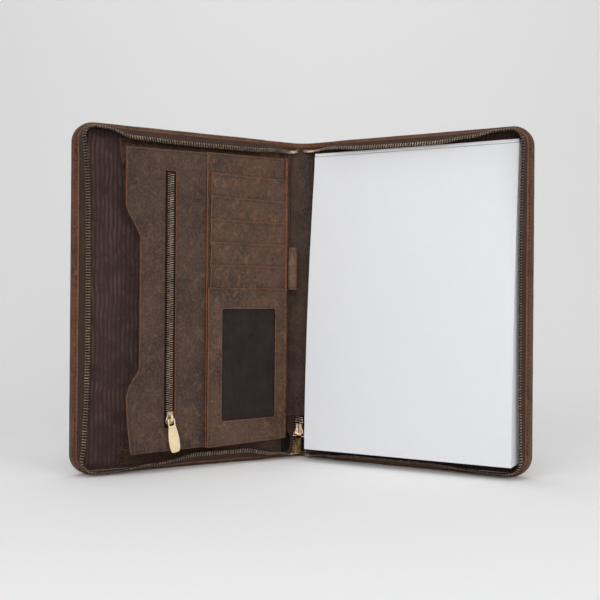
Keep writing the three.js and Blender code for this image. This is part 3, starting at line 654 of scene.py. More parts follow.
@dataclass
class Graph:
    """Writes a shader node tree in short calls."""

    tree: bpy.types.NodeTree

    def node(self, kind: str, values: dict | None = None, **settings: object) -> bpy.types.Node:
        """Adds a node.

        Args:
            kind: Node type without its ShaderNode prefix.
            values: Input values or sockets to link, by input name or number.
            **settings: Properties of the node.

        Returns:
            The new node.
        """
        made = self.tree.nodes.new("ShaderNode" + kind)
        for key, value in settings.items():
            setattr(made, key, value)
        for key, value in (values or {}).items():
            if isinstance(value, bpy.types.NodeSocket):
                self.tree.links.new(value, made.inputs[key])
            else:
                made.inputs[key].default_value = value
        return made

    def math(self, operation: str, a: object, b: object = 0.0, clamp: bool = False) -> bpy.types.NodeSocket:
        """Adds a math node and gives its result."""
        return self.node("Math", {0: a, 1: b}, operation=operation, use_clamp=clamp).outputs[0]

    def plus(self, a: object, b: object, clamp: bool = False) -> bpy.types.NodeSocket:
        """Adds two values."""
        return self.math("ADD", a, b, clamp)

    def minus(self, a: object, b: object, clamp: bool = False) -> bpy.types.NodeSocket:
        """Takes the second value from the first."""
        return self.math("SUBTRACT", a, b, clamp)

    def times(self, a: object, b: object, clamp: bool = False) -> bpy.types.NodeSocket:
        """Multiplies two values."""
        return self.math("MULTIPLY", a, b, clamp)

    def give(self, node: bpy.types.Node, values: dict[str, bpy.types.NodeSocket]) -> None:
        """Links values to the inputs of a node that is there already."""
        for key, value in values.items():
            self.tree.links.new(value, node.inputs[key])

    def blend(self, share: object, a: object, b: object, kind: str = "MIX") -> bpy.types.NodeSocket:
        """Mixes two colours and gives the result."""
        made = self.node("Mix", {0: share, 6: a, 7: b}, data_type="RGBA", blend_type=kind, clamp_factor=True)
        return made.outputs[2]

    def ramp(self, value: object, low: float, high: float) -> bpy.types.NodeSocket:
        """Spreads a value's range out to the range from 0 to 1."""
        values = {0: value, 1: low, 2: high, 3: 0.0, 4: 1.0}
        made = self.node("MapRange", values, interpolation_type="SMOOTHSTEP")
        return made.outputs[0]

    def noise(
        self, vector: object, scale: float, detail: float = 3.0, rough: float = 0.5, bend: float = 0.0
    ) -> bpy.types.NodeSocket:
        """Adds a noise pattern and gives its value."""
        values = {"Vector": vector, "Scale": scale, "Detail": detail, "Roughness": rough, "Distortion": bend}
        return self.node("TexNoise", values).outputs[0]

    def stretched(
        self, vector: object, scale: Sequence[float], turn: Sequence[float] = (0, 0, 0)
    ) -> bpy.types.NodeSocket:
        """Scales and turns a texture's space."""
        made = self.node("Mapping", {"Vector": vector, "Rotation": turn, "Scale": scale})
        return made.outputs[0]


class Effects:
    """Node groups that several materials share, each built once."""

    def __init__(self) -> None:
        """Builds the four groups."""
        self.leather = self.build_leather()
        self.weave = self.build_weave()
        self.patina = self.build_patina()
        self.soiling = self.build_soiling()

    @staticmethod
    def group(name: str, inputs: dict, outputs: dict) -> tuple[Graph, bpy.types.Node, bpy.types.Node]:
        """Starts a node group.

        Args:
            name: Name of the group.
            inputs: Socket kind and first value by input name.
            outputs: Socket kind by output name.

        Returns:
            The group's graph, its input node and its output node.
        """
        tree = bpy.data.node_groups.new(name, "ShaderNodeTree")
        for key, (kind, value) in inputs.items():
            made = tree.interface.new_socket(name=key, in_out="INPUT", socket_type="NodeSocket" + kind)
            made.default_value = value
        for key, kind in outputs.items():
            tree.interface.new_socket(name=key, in_out="OUTPUT", socket_type="NodeSocket" + kind)
        return Graph(tree), tree.nodes.new("NodeGroupInput"), tree.nodes.new("NodeGroupOutput")

    def build_leather(self) -> bpy.types.NodeTree:
        """Builds oiled leather that is scuffed, clouded and burnished at its cut edges."""
        inputs = {
            "Dark": ("Color", colour(44, 34, 28)),
            "Body": ("Color", colour(80, 64, 52)),
            "Pale": ("Color", colour(120, 100, 84)),
            "Edge": ("Color", colour(150, 88, 48)),
            "Edge Width": ("Float", 1.2),
            "Scuffing": ("Float", 0.5),
            "Grain": ("Float", 1.0),
            "Crease": ("Float", 2.4),
        }
        graph, entry, exit_node = self.group(
            "scuffed leather", inputs, {"Color": "Color", "Roughness": "Float", "Height": "Float"}
        )
        place = graph.node("TexCoord").outputs["Object"]
        broad = graph.noise(place, 26, 4, 0.6, 0.5)
        cloud = graph.noise(graph.stretched(place, (1, 1, 0.8)), 130, 5, 0.72, 0.9)
        fibre = graph.noise(graph.stretched(place, (1, 1, 0.55)), 760, 4, 0.72)
        shade = graph.blend(graph.ramp(broad, 0.3, 0.62), entry.outputs["Dark"], entry.outputs["Body"])
        lit = graph.times(graph.ramp(cloud, 0.5, 0.68), entry.outputs["Scuffing"])
        shade = graph.blend(lit, shade, entry.outputs["Pale"])
        fine = graph.times(graph.ramp(fibre, 0.42, 0.7), 0.45)
        shade = graph.blend(fine, shade, entry.outputs["Pale"])
        worn = graph.times(graph.ramp(fibre, 0.52, 0.32), 0.4)
        shade = graph.blend(worn, shade, entry.outputs["Dark"])
        scratches = []
        for turn, seed_shift in ((0.5, 0.0), (-0.9, 0.37), (1.4, 0.71)):
            space = graph.stretched(place, (1, 1, 1), (0.4, turn, 0.2))
            long = graph.noise(graph.stretched(space, (520, 60 + 20 * seed_shift, 24)), 1.0, 2, 0.5)
            where = graph.noise(graph.stretched(space, (30, 30, 14)), 1.0, 2, 0.5)
            off_line = graph.math("ABSOLUTE", graph.minus(long, 0.5))
            thin = graph.minus(1.0, graph.ramp(off_line, 0.0, 0.03))
            scratches.append(graph.times(thin, graph.ramp(where, 0.5, 0.6)))
        scratch = graph.math("MAXIMUM", graph.math("MAXIMUM", scratches[0], scratches[1]), scratches[2])
        scratch = graph.times(scratch, entry.outputs["Scuffing"])
        bright = graph.blend(0.5, entry.outputs["Pale"], entry.outputs["Edge"])
        shade = graph.blend(graph.times(scratch, 0.6, True), shade, bright)
        hide = graph.node("Attribute", attribute_name="hide").outputs["Vector"]
        away = graph.node("SeparateXYZ", {0: hide}).outputs[2]
        wander = graph.times(graph.noise(place, 90, 2), 0.9)
        reach = graph.times(entry.outputs["Edge Width"], graph.plus(wander, 0.55))
        edge = graph.minus(1.0, graph.math("DIVIDE", away, reach), True)
        edge = graph.times(graph.ramp(edge, 0.0, 0.55), graph.ramp(graph.noise(place, 150, 3), 0.22, 0.5))
        # Pressed crease line a set distance in from the cut edge: a groove in the height, and darkened towards
        # Dark as painted shade in that groove.
        pressed = graph.math("ABSOLUTE", graph.minus(away, entry.outputs["Crease"]))
        pressed = graph.minus(1.0, graph.ramp(pressed, 0.1, 0.55))
        shade = graph.blend(graph.times(pressed, 0.45), shade, entry.outputs["Dark"])
        shade = graph.blend(edge, shade, entry.outputs["Edge"])
        values = {"Vector": place, "Scale": 1500.0, "Randomness": 1.0}
        cells = graph.node("TexVoronoi", values, feature="DISTANCE_TO_EDGE")
        pebble = graph.times(graph.ramp(cells.outputs["Distance"], 0.0, 0.3), entry.outputs["Grain"])
        height = graph.plus(graph.times(pebble, 0.16), graph.times(cloud, 0.8))
        height = graph.plus(height, graph.times(fibre, 0.35))
        height = graph.minus(height, graph.times(scratch, 0.35))
        height = graph.minus(height, graph.times(pressed, 0.9))
        rough = graph.plus(0.5, graph.times(cloud, 0.28))
        rough = graph.minus(rough, graph.times(edge, 0.14))
        graph.give(exit_node, {"Color": shade, "Roughness": rough, "Height": height})
        return graph.tree

    def build_weave(self) -> bpy.types.NodeTree:
        """Builds a woven cloth face from the cloth's own flat place, in millimetres."""
        inputs = {
            "Thread": ("Color", colour(46, 38, 40)),
            "Shadow": ("Color", colour(14, 11, 12)),
            # Rib: painted highlight colour of the rib crests.
            "Rib": ("Color", colour(62, 50, 50)),
            "Pitch": ("Float", 0.8),
            "Rib Pitch": ("Float", 4.6),
            "Rib Depth": ("Float", 1.0),
        }
        graph, entry, exit_node = self.group(
            "woven cloth", inputs, {"Color": "Color", "Roughness": "Float", "Height": "Float"}
        )
        flat = graph.node("Attribute", attribute_name="hide").outputs["Vector"]
        parts = graph.node("SeparateXYZ", {0: flat})
        turn = graph.math("DIVIDE", 2 * math.pi, entry.outputs["Pitch"])
        warp = graph.math("SINE", graph.times(parts.outputs[0], turn))
        weft = graph.math("SINE", graph.times(parts.outputs[1], turn))
        woven = graph.plus(graph.times(graph.times(warp, weft), 0.5), 0.5)
        rib_turn = graph.math("DIVIDE", 2 * math.pi, entry.outputs["Rib Pitch"])
        wobble = graph.times(graph.noise(flat, 0.035, 2), 5.0)
        across = graph.plus(parts.outputs[0], wobble)
        rib = graph.math("SINE", graph.times(across, rib_turn))
        rib = graph.plus(graph.times(rib, 0.5), 0.5)
        rib = graph.times(rib, entry.outputs["Rib Depth"])
        patch = graph.noise(flat, 0.05, 4, 0.6, 0.8)
        shade = graph.blend(woven, entry.outputs["Shadow"], entry.outputs["Thread"])
        # Lightens the rib crests towards the Rib colour as painted highlight; Shadow is painted shade between the
        # threads.
        shade = graph.blend(graph.times(rib, graph.ramp(patch, 0.3, 0.7)), shade, entry.outputs["Rib"])
        height = graph.plus(graph.times(woven, 0.35), rib)
        rough = graph.plus(0.74, graph.times(patch, 0.25))
        graph.give(exit_node, {"Color": shade, "Roughness": rough, "Height": height})
        return graph.tree

    def build_patina(self) -> bpy.types.NodeTree:
        """Builds plated metal that is tarnished in patches and rubbed bright."""
        inputs = {
            "Bright": ("Color", colour(214, 186, 140)),
            "Tarnish": ("Color", colour(70, 56, 44)),
            "Tarnish Share": ("Float", 0.5),
        }
        graph, entry, exit_node = self.group(
            "rubbed plating", inputs, {"Color": "Color", "Roughness": "Float", "Height": "Float"}
        )
        place = graph.node("TexCoord").outputs["Object"]
        patch = graph.noise(place, 260, 4, 0.6, 0.4)
        fine = graph.noise(place, 1500, 3, 0.6)
        worn = graph.ramp(graph.plus(patch, graph.times(fine, 0.3)), 0.45, 0.85)
        share = graph.times(graph.minus(1.0, worn), entry.outputs["Tarnish Share"])
        share = graph.plus(share, graph.times(entry.outputs["Tarnish Share"], 0.35), True)
        shade = graph.blend(share, entry.outputs["Bright"], entry.outputs["Tarnish"])
        rough = graph.plus(0.22, graph.times(share, 0.34))
        graph.give(exit_node, {"Color": shade, "Roughness": rough, "Height": fine})
        return graph.tree

    def build_soiling(self) -> bpy.types.NodeTree:
        """Builds faint handling marks and dust over a colour."""
        inputs = {
            "Color": ("Color", (0.8, 0.8, 0.8, 1.0)),
            "Dust": ("Color", colour(150, 140, 128)),
            "Amount": ("Float", 0.1),
        }
        graph, entry, exit_node = self.group("dust and handling", inputs, {"Color": "Color"})
        place = graph.node("TexCoord").outputs["Object"]
        patch = graph.noise(place, 70, 5, 0.65, 0.5)
        share = graph.times(graph.ramp(patch, 0.45, 0.8), entry.outputs["Amount"])
        shade = graph.blend(share, entry.outputs["Color"], entry.outputs["Dust"])
        graph.give(exit_node, {"Color": shade})
        return graph.tree


@dataclass(frozen=True)
class LeatherLook:
    """Colours and wear of a leather finish. Widths are in millimetres."""

    dark: Colour
    body: Colour
    pale: Colour
    edge: Colour
    edge_width: float = 1.2
    scuffing: float = 0.5
    grain: float = 1.0
    gloss: float = 0.3
    crease: float = 2.4


@dataclass(frozen=True)
class ClothLook:
    """Colours of a woven finish and its pitches in millimetres. The rib colour is painted highlight on the rib
    crests.
    """

    thread: Colour
    rib: Colour
    pitch: float
    rib_pitch: float
    rib_depth: float


@dataclass(frozen=True)
class MetalLook:
    """Colours of a plated finish and how much of it is tarnished."""

    bright: Colour
    tarnish: Colour
    share: float
    metallic: float = 1.0


NO_CREASE = -9.0
EDGE_TAN = colour(124, 78, 52)

DISTRESSED = LeatherLook(
    dark=colour(42, 32, 27),
    body=colour(64, 48, 40),
    pale=colour(108, 79, 60),
    edge=colour(114, 73, 49),
    edge_width=0.65,
    scuffing=0.62,
)
RUBBED = LeatherLook(
    dark=colour(48, 36, 29),
    body=colour(72, 53, 43),
    pale=colour(122, 88, 66),
    edge=EDGE_TAN,
    edge_width=0.7,
    scuffing=0.62,
)
LOOP = LeatherLook(
    dark=colour(54, 39, 32),
    body=colour(80, 58, 47),
    pale=colour(134, 98, 78),
    edge=EDGE_TAN,
    edge_width=0.8,
    scuffing=0.7,
)
RIM_LOOK = LeatherLook(
    dark=colour(44, 29, 21),
    body=colour(88, 56, 38),
    pale=colour(136, 88, 58),
    edge=colour(116, 74, 48),
    edge_width=0.6,
    scuffing=0.6,
    grain=0.8,
    crease=NO_CREASE,
)
SPINE_LOOK = LeatherLook(
    dark=colour(44, 33, 29),
    body=colour(70, 54, 47),
    pale=colour(100, 76, 62),
    edge=colour(86, 58, 42),
    edge_width=0.7,
    scuffing=0.45,
    grain=0.7,
    gloss=0.2,
    crease=NO_CREASE,
)


class Palette:
    """Builds every finish and hands it to the pieces."""

    def __init__(self) -> None:
        """Builds the finishes of the record, and the variants that single pieces wear."""
        self.effects = Effects()
        ribs = ClothLook(colour(74, 56, 53), colour(108, 85, 79), 0.8, 4.2, 0.6)
        tape = ClothLook(colour(64, 47, 40), colour(84, 65, 55), 0.9, 1.8, 0.5)
        net = ClothLook(colour(54, 47, 46), colour(72, 63, 60), 0.6, 2.4, 0.6)
        brass = MetalLook(colour(236, 206, 178), colour(36, 28, 25), 0.55)
        gold = MetalLook(colour(255, 232, 190), colour(190, 148, 100), 0.12, 0.55)
        self.materials = {
            Finish.LEATHER: self.leather("distressed leather", DISTRESSED),
            Finish.RIM: self.leather("rim leather", RIM_LOOK),
            Finish.SUEDE: self.leather("spine leather", SPINE_LOOK),
            Finish.LINING: self.cloth("ribbed lining", ribs),
            Finish.TAPE: self.cloth("zip tape", tape),
            Finish.MESH: self.cloth("window mesh", net),
            Finish.BRASS: self.metal("antique brass", brass),
            Finish.GOLD: self.metal("light gold", gold),
            Finish.PAPER: self.paper("pad paper", colour(226, 227, 230), 0.05),
            Finish.BOARD: self.paper("backing board", colour(150, 134, 112), 0.2),
        }
        thread = ClothLook(colour(120, 80, 52), colour(150, 104, 70), 0.3, 0.6, 0.4)
        dark_thread = ClothLook(colour(44, 30, 24), colour(60, 42, 32), 0.3, 0.6, 0.4)
        # Darker tape: painted shade beside the teeth in the pocket zip's slot and by the foot of the main zip.
        shadow_tape = ClothLook(colour(38, 28, 27), colour(54, 40, 38), 0.9, 1.8, 0.5)
        # Near-black cord colour: painted shade in the gaps between the zip teeth.
        cord = ClothLook(colour(20, 16, 15), colour(32, 26, 24), 0.6, 1.2, 0.4)
        rose = MetalLook(colour(200, 170, 146), colour(116, 88, 70), 0.5)
        bronze = MetalLook(colour(150, 120, 78), colour(48, 38, 28), 0.7)
        self.pale_leather = self.leather("rubbed leather", RUBBED)
        self.loop_leather = self.leather("loop leather", LOOP)
        self.rose = self.metal("rose gold", rose)
        self.bronze = self.metal("dark bronze", bronze)
        self.thread = self.cloth("sewing thread", thread)
        self.dark_thread = self.cloth("dark thread", dark_thread)
        self.shadow_tape = self.cloth("dark zip tape", shadow_tape)
        self.cord = self.cloth("zip cord", cord)

    @staticmethod
    def start(name: str) -> tuple[bpy.types.Material, Graph, bpy.types.Node]:
        """Starts a material and gives it with its graph and its main shader."""
        material = bpy.data.materials.new(name)
        material.use_nodes = True
        return material, Graph(material.node_tree), material.node_tree.nodes["Principled BSDF"]

    def finish_with(
        self, graph: Graph, shader: bpy.types.Node, group: bpy.types.Node, depth: float, dust: float
    ) -> None:
        """Joins an effect group to the main shader, with dust over its colour and its height as a bump."""
        soiled = graph.node("Group", {}, node_tree=self.effects.soiling)
        graph.give(soiled, {"Color": group.outputs["Color"]})
        soiled.inputs["Amount"].default_value = dust
        bump = graph.node("Bump", {"Height": group.outputs["Height"], "Distance": depth, "Strength": 1.0})
        outputs = {
            "Base Color": soiled.outputs["Color"],
            "Roughness": group.outputs["Roughness"],
            "Normal": bump.outputs["Normal"],
        }
        graph.give(shader, outputs)

    def leather(self, name: str, look: LeatherLook) -> bpy.types.Material:
        """Makes a leather material."""
        material, graph, shader = self.start(name)
        group = graph.node("Group", {}, node_tree=self.effects.leather)
        values = {
            "Dark": look.dark,
            "Body": look.body,
            "Pale": look.pale,
            "Edge": look.edge,
            "Edge Width": look.edge_width,
            "Scuffing": look.scuffing,
            "Grain": look.grain,
            "Crease": look.crease,
        }
        for key, value in values.items():
            group.inputs[key].default_value = value
        shader.inputs["Specular IOR Level"].default_value = look.gloss
        self.finish_with(graph, shader, group, 0.00022, 0.05)
        return material

    def cloth(self, name: str, look: ClothLook) -> bpy.types.Material:
        """Makes a woven material."""
        material, graph, shader = self.start(name)
        group = graph.node("Group", {}, node_tree=self.effects.weave)
        shadow = tuple(value * 0.5 for value in look.thread[:3]) + (1.0,)
        values = {
            "Thread": look.thread,
            "Shadow": shadow,
            "Rib": look.rib,
            "Pitch": look.pitch,
            "Rib Pitch": look.rib_pitch,
            "Rib Depth": look.rib_depth,
        }
        for key, value in values.items():
            group.inputs[key].default_value = value
        shader.inputs["Sheen Weight"].default_value = 0.04
        shader.inputs["Specular IOR Level"].default_value = 0.12
        self.finish_with(graph, shader, group, 0.00025, 0.03)
        return material

    def metal(self, name: str, look: MetalLook) -> bpy.types.Material:
        """Makes a plated metal material."""
        material, graph, shader = self.start(name)
        group = graph.node("Group", {}, node_tree=self.effects.patina)
        group.inputs["Bright"].default_value = look.bright
        group.inputs["Tarnish"].default_value = look.tarnish
        group.inputs["Tarnish Share"].default_value = look.share
        shader.inputs["Metallic"].default_value = look.metallic
        self.finish_with(graph, shader, group, 0.00002, 0.01)
        return material

    def paper(self, name: str, body: Colour, fibre: float) -> bpy.types.Material:
        """Makes paper or board, with more or less fibre showing."""
        material, graph, shader = self.start(name)
        place = graph.node("TexCoord").outputs["Object"]
        patch = graph.noise(place, 130, 4, 0.6)
        fine = graph.noise(place, 2600, 2, 0.6)
        darker = tuple(value * 0.86 for value in body[:3]) + (1.0,)
        share = graph.times(graph.plus(graph.times(patch, 0.5), fine), 0.5 + fibre)
        shade = graph.blend(graph.ramp(share, 0.2, 1.2), body, darker)
        rough = graph.plus(0.78, graph.times(fine, 0.15))
        bump = graph.node("Bump", {"Height": fine, "Distance": 0.00002, "Strength": 1.0})
        graph.give(shader, {"Base Color": shade, "Roughness": rough, "Normal": bump.outputs["Normal"]})
        return material


class Body(Enum):
    """The bodies that move in the record."""

    CASE = "case"
    POCKET_PULL = "pocket_pull"
    MAIN_PULL = "main_pull"


@dataclass
class Workshop:
    """Dresses finished pieces: finish, body and the nodes they stand for."""

    palette: Palette
    count: int = 0

    def dress(
        self,
        made: bpy.types.Object,
        finish: Finish,
        nodes: Sequence[str] = (),
        body: Body = Body.CASE,
        material: bpy.types.Material | None = None,
    ) -> bpy.types.Object:
        """Gives a piece its finish and puts it on its body.

        Args:
            made: The piece.
            finish: Its finish.
            nodes: Names of the CAD nodes that it stands for.
            body: The body that it rides.
            material: Another material than the finish's own.

        Returns:
            The piece.
        """
        made.name = made.name.split(".")[0] + "_form"
        made.data.materials.clear()
        made.data.materials.append(material or self.palette.materials[finish])
        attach(made, body.value)
        if nodes:
            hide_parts(*nodes)
        self.count += 1
        LOG.info("%s: %d faces", made.name, len(made.data.polygons))
        return made

    def sew(self, name: str, stitches: list, dark: bool = False) -> bpy.types.Object:
        """Joins stitches into one seam."""
        made = join_parts(name, stitches)
        thread = self.palette.dark_thread if dark else self.palette.thread
        return self.dress(made, Finish.RIM, material=thread)


# Covers, linings and rim


RIM_LEAN = {
    -1: (
        (0, 45), (0.04, 54), (0.14, 56), (0.21, 50), (0.25, 18), (0.283, 6), (0.33, 22), (0.38, 32),
        (0.47, 35), (0.55, 35), (0.62, 31), (0.68, 20), (0.717, 5), (0.76, 4), (0.82, 20), (0.887, 50),
        (0.948, 50), (1, 20),
    ),
    1: (
        (0, 30), (0.06, 42), (0.16, 46), (0.21, 30), (0.25, 12), (0.283, 6), (0.32, 11), (0.38, 16),
        (0.5, 18), (0.62, 16), (0.68, 11), (0.717, 5), (0.76, 6), (0.85, 21), (0.95, 21), (1, 12),
    ),
}


def eased(table: Sequence[Sequence[float]], share: float) -> float:
    """Gives a table's value at a share of its run, eased between its rows."""
    last = len(table) - 1
    after = max(next((i for i, row in enumerate(table) if row[0] >= share), last), 1)
    low, high = table[after - 1], table[after]
    along = min(max((share - low[0]) / (high[0] - low[0]), 0), 1)
    along = along * along * (3 - 2 * along)
    return low[1] + (high[1] - low[1]) * along


def thicken(line: np.ndarray, thickness: float) -> np.ndarray:
    """Gives the outline of an even strip round a flat line, along one face and back along the other."""
    into = np.diff(line, axis=0, prepend=line[:1] * 2 - line[1:2])
    out = np.diff(line, axis=0, append=line[-1:] * 2 - line[-2:-1])
    into /= np.linalg.norm(into, axis=1, keepdims=True)
    out /= np.linalg.norm(out, axis=1, keepdims=True)
    along = into + out
    along /= np.linalg.norm(along, axis=1, keepdims=True)
    spread = np.maximum((along * out).sum(1, keepdims=True), 0.5)
    normal = np.stack([-along[:, 1], along[:, 0]], 1) * thickness / 2 / spread
    return np.concatenate([line + normal, (line - normal)[::-1]])


@dataclass(frozen=True)
class Station:
    """One place along the rim: its point on the outer face and its outward direction."""

    reach: float
    height: float
    out_reach: float
    out_height: float
    along: float


@dataclass(frozen=True)
class RimSizes:
    """Sizes of the edge bands, in millimetres."""

    rise: float = 10.2
    flat: float = 3.2
    set_back: float = 2.15
    lean: float = 2.6
    end: float = 23.0
    end_rise: float = 0.45
    taper: float = 14.0
    full_lean: float = 77.0
    step: float = 3.0


@dataclass
class Rim:
    """The leather band that stands round the three free sides of a cover."""

    side: int
    sizes: RimSizes

    def __post_init__(self) -> None:
        """Lays the stations and measures the band."""
        self.stations = self.lay_stations()
        self.length = self.stations[-1].along

    def lay_stations(self) -> list[Station]:
        """Lays stations from the top of the spine round the cover to its foot."""
        made: list[Station] = []
        inner_reach, inner_top = CASE.cover - CASE.corner, CASE.height - CASE.corner

        def add(reach: float, height: float, out_reach: float, out_height: float) -> None:
            """Adds the next station."""
            along = 0.0
            if made:
                along = made[-1].along + math.hypot(reach - made[-1].reach, height - made[-1].height)
            made.append(Station(reach, height, out_reach, out_height, along))

        def corner(centre: float, first: float) -> None:
            """Adds the stations round a corner, from an angle on."""
            steps = 12
            for i in range(steps + 1):
                angle = first - math.pi / 2 * i / steps
                out_reach, out_height = math.cos(angle), math.sin(angle)
                reach = inner_reach + CASE.corner * out_reach
                add(reach, centre + CASE.corner * out_height, out_reach, out_height)

        count = round((inner_reach - self.sizes.end) / self.sizes.step)
        run = [self.sizes.end + (inner_reach - self.sizes.end) * i / count for i in range(count)]
        for reach in run:
            add(reach, CASE.height, 0, 1)
        corner(inner_top, math.pi / 2)
        count = round((inner_top - CASE.corner) / self.sizes.step)
        for i in range(1, count):
            add(CASE.cover, inner_top + (CASE.corner - inner_top) * i / count, 1, 0)
        corner(CASE.corner, 0)
        for reach in run[::-1]:
            add(reach, 0, 0, -1)
        return made

    def section(self, station: Station) -> tuple[np.ndarray, float]:
        """Gives the band's centre line at a station, and the lean of the zip tape there in degrees."""
        sizes = self.sizes
        lean = eased(RIM_LEAN[self.side], station.along / self.length)
        from_end = min(max(min(station.along, self.length - station.along) / sizes.taper, 0), 1)
        rise = sizes.end_rise + (1 - sizes.end_rise) * from_end * from_end * (3 - 2 * from_end)
        share = lean / sizes.full_lean * rise
        rows = (
            (-CASE.wall, 0, 0),
            (sizes.flat * rise, 0, 0),
            (sizes.rise * 0.59 * rise, 0.16, 0.1),
            (sizes.rise * 0.82 * rise, 0.53, 0.46),
            (sizes.rise * rise, 1, 1),
        )
        line = []
        for up, back, tip in rows:
            inward = CASE.band / 2 + sizes.set_back * back + sizes.lean * tip * share
            line.append((-inward, up))
        return np.array(line), lean

    def place(self, station: Station, rows: np.ndarray) -> np.ndarray:
        """Lays rows (distance inside the outer face, depth) at a station."""
        reach = station.reach + station.out_reach * rows[:, 0]
        height = station.height + station.out_height * rows[:, 0]
        return page_place(self.side)(np.column_stack([self.side * reach, height, rows[:, 1]]))

    def build_band(self, name: str) -> bpy.types.Object:
        """Builds the band, thin at its edges and slightly uneven."""
        rings, hides = [], []
        for station in self.stations:
            line, _ = self.section(station)
            fine = split(line, (6, 3, 3, 4))
            ring = thicken(fine, CASE.band)
            half = len(fine)
            shares = np.linspace(0, 1, half)
            up = run_along(fine)
            tip = np.minimum(up, up[-1] - up)
            pinch = 1 - 0.62 * hump(tip, 0.5)
            middle = np.concatenate([fine, fine[::-1]])
            ring = middle + (ring - middle) * np.concatenate([pinch, pinch[::-1]])[:, None]
            spot = np.column_stack([np.full(half, station.along), up * 4, shares])
            swell = smooth_noise(spot, 26, 3 + self.side) * 0.16 * np.minimum(tip / 2.5, 1)
            ring[:half, 0] += swell
            ring[half:, 0] += swell[::-1]
            rings.append(self.place(station, ring))
            around, away = np.concatenate([up, up[::-1]]), np.concatenate([tip, tip[::-1]])
            hides.append(np.column_stack([np.full(2 * half, station.along), around, away]))
        return loft(name, np.array(rings), np.array(hides))

    def seam(self, thread: Thread, share: float) -> list:
        """Sews round the band's outer face, at a share of the way up its leaning part."""
        rows, normals = [], []
        for station in self.stations[2:-2]:
            line, _ = self.section(station)
            point = line[2] + (line[4] - line[2]) * share
            direction = line[4] - line[2]
            normal = np.array([-direction[1], direction[0]]) / np.linalg.norm(direction)
            if normal[0] < 0:
                normal = -normal
            face = point + normal * CASE.band / 2
            pair = self.place(station, np.array([face, face + normal]))
            rows.append(pair[0])
            normals.append(pair[1] - pair[0])
        return stitch_along(thread, np.array(rows), np.array(normals))


def stitch_along(thread: Thread, line: np.ndarray, normals: np.ndarray) -> list:
    """Sews along a line in space.

    Args:
        thread: The thread to sew with.
        line: Points of the seam.
        normals: Direction out of the sewn face at each point.

    Returns:
        The small meshes of the stitches.
    """
    along = run_along(line)
    made = []
    for start in thread.starts(along[-1]):
        normal = row_at(normals, along, start)
        ends = [row_at(line, along, value) for value in (start, start + thread.length)]
        made.append(thread.stitch(ends[0], ends[1], normal / np.linalg.norm(normal)))
    return made


@dataclass(frozen=True)
class ShellSizes:
    """Sizes of the cover wrap's trim and linings, in millimetres."""

    seam: float = 22.7
    seam_slant: float = 0.6
    hem_top: float = 1.8
    hem_bottom: float = 1.2
    hem_reach: float = 22.4
    lining_margin: float = 4.2
    spine_lining_bottom: float = 42.0
    zip_end_cloth: float = 0.5
    zip_end_wing: float = 9.0
    spine_lining_top: float = CASE.height - 15.0


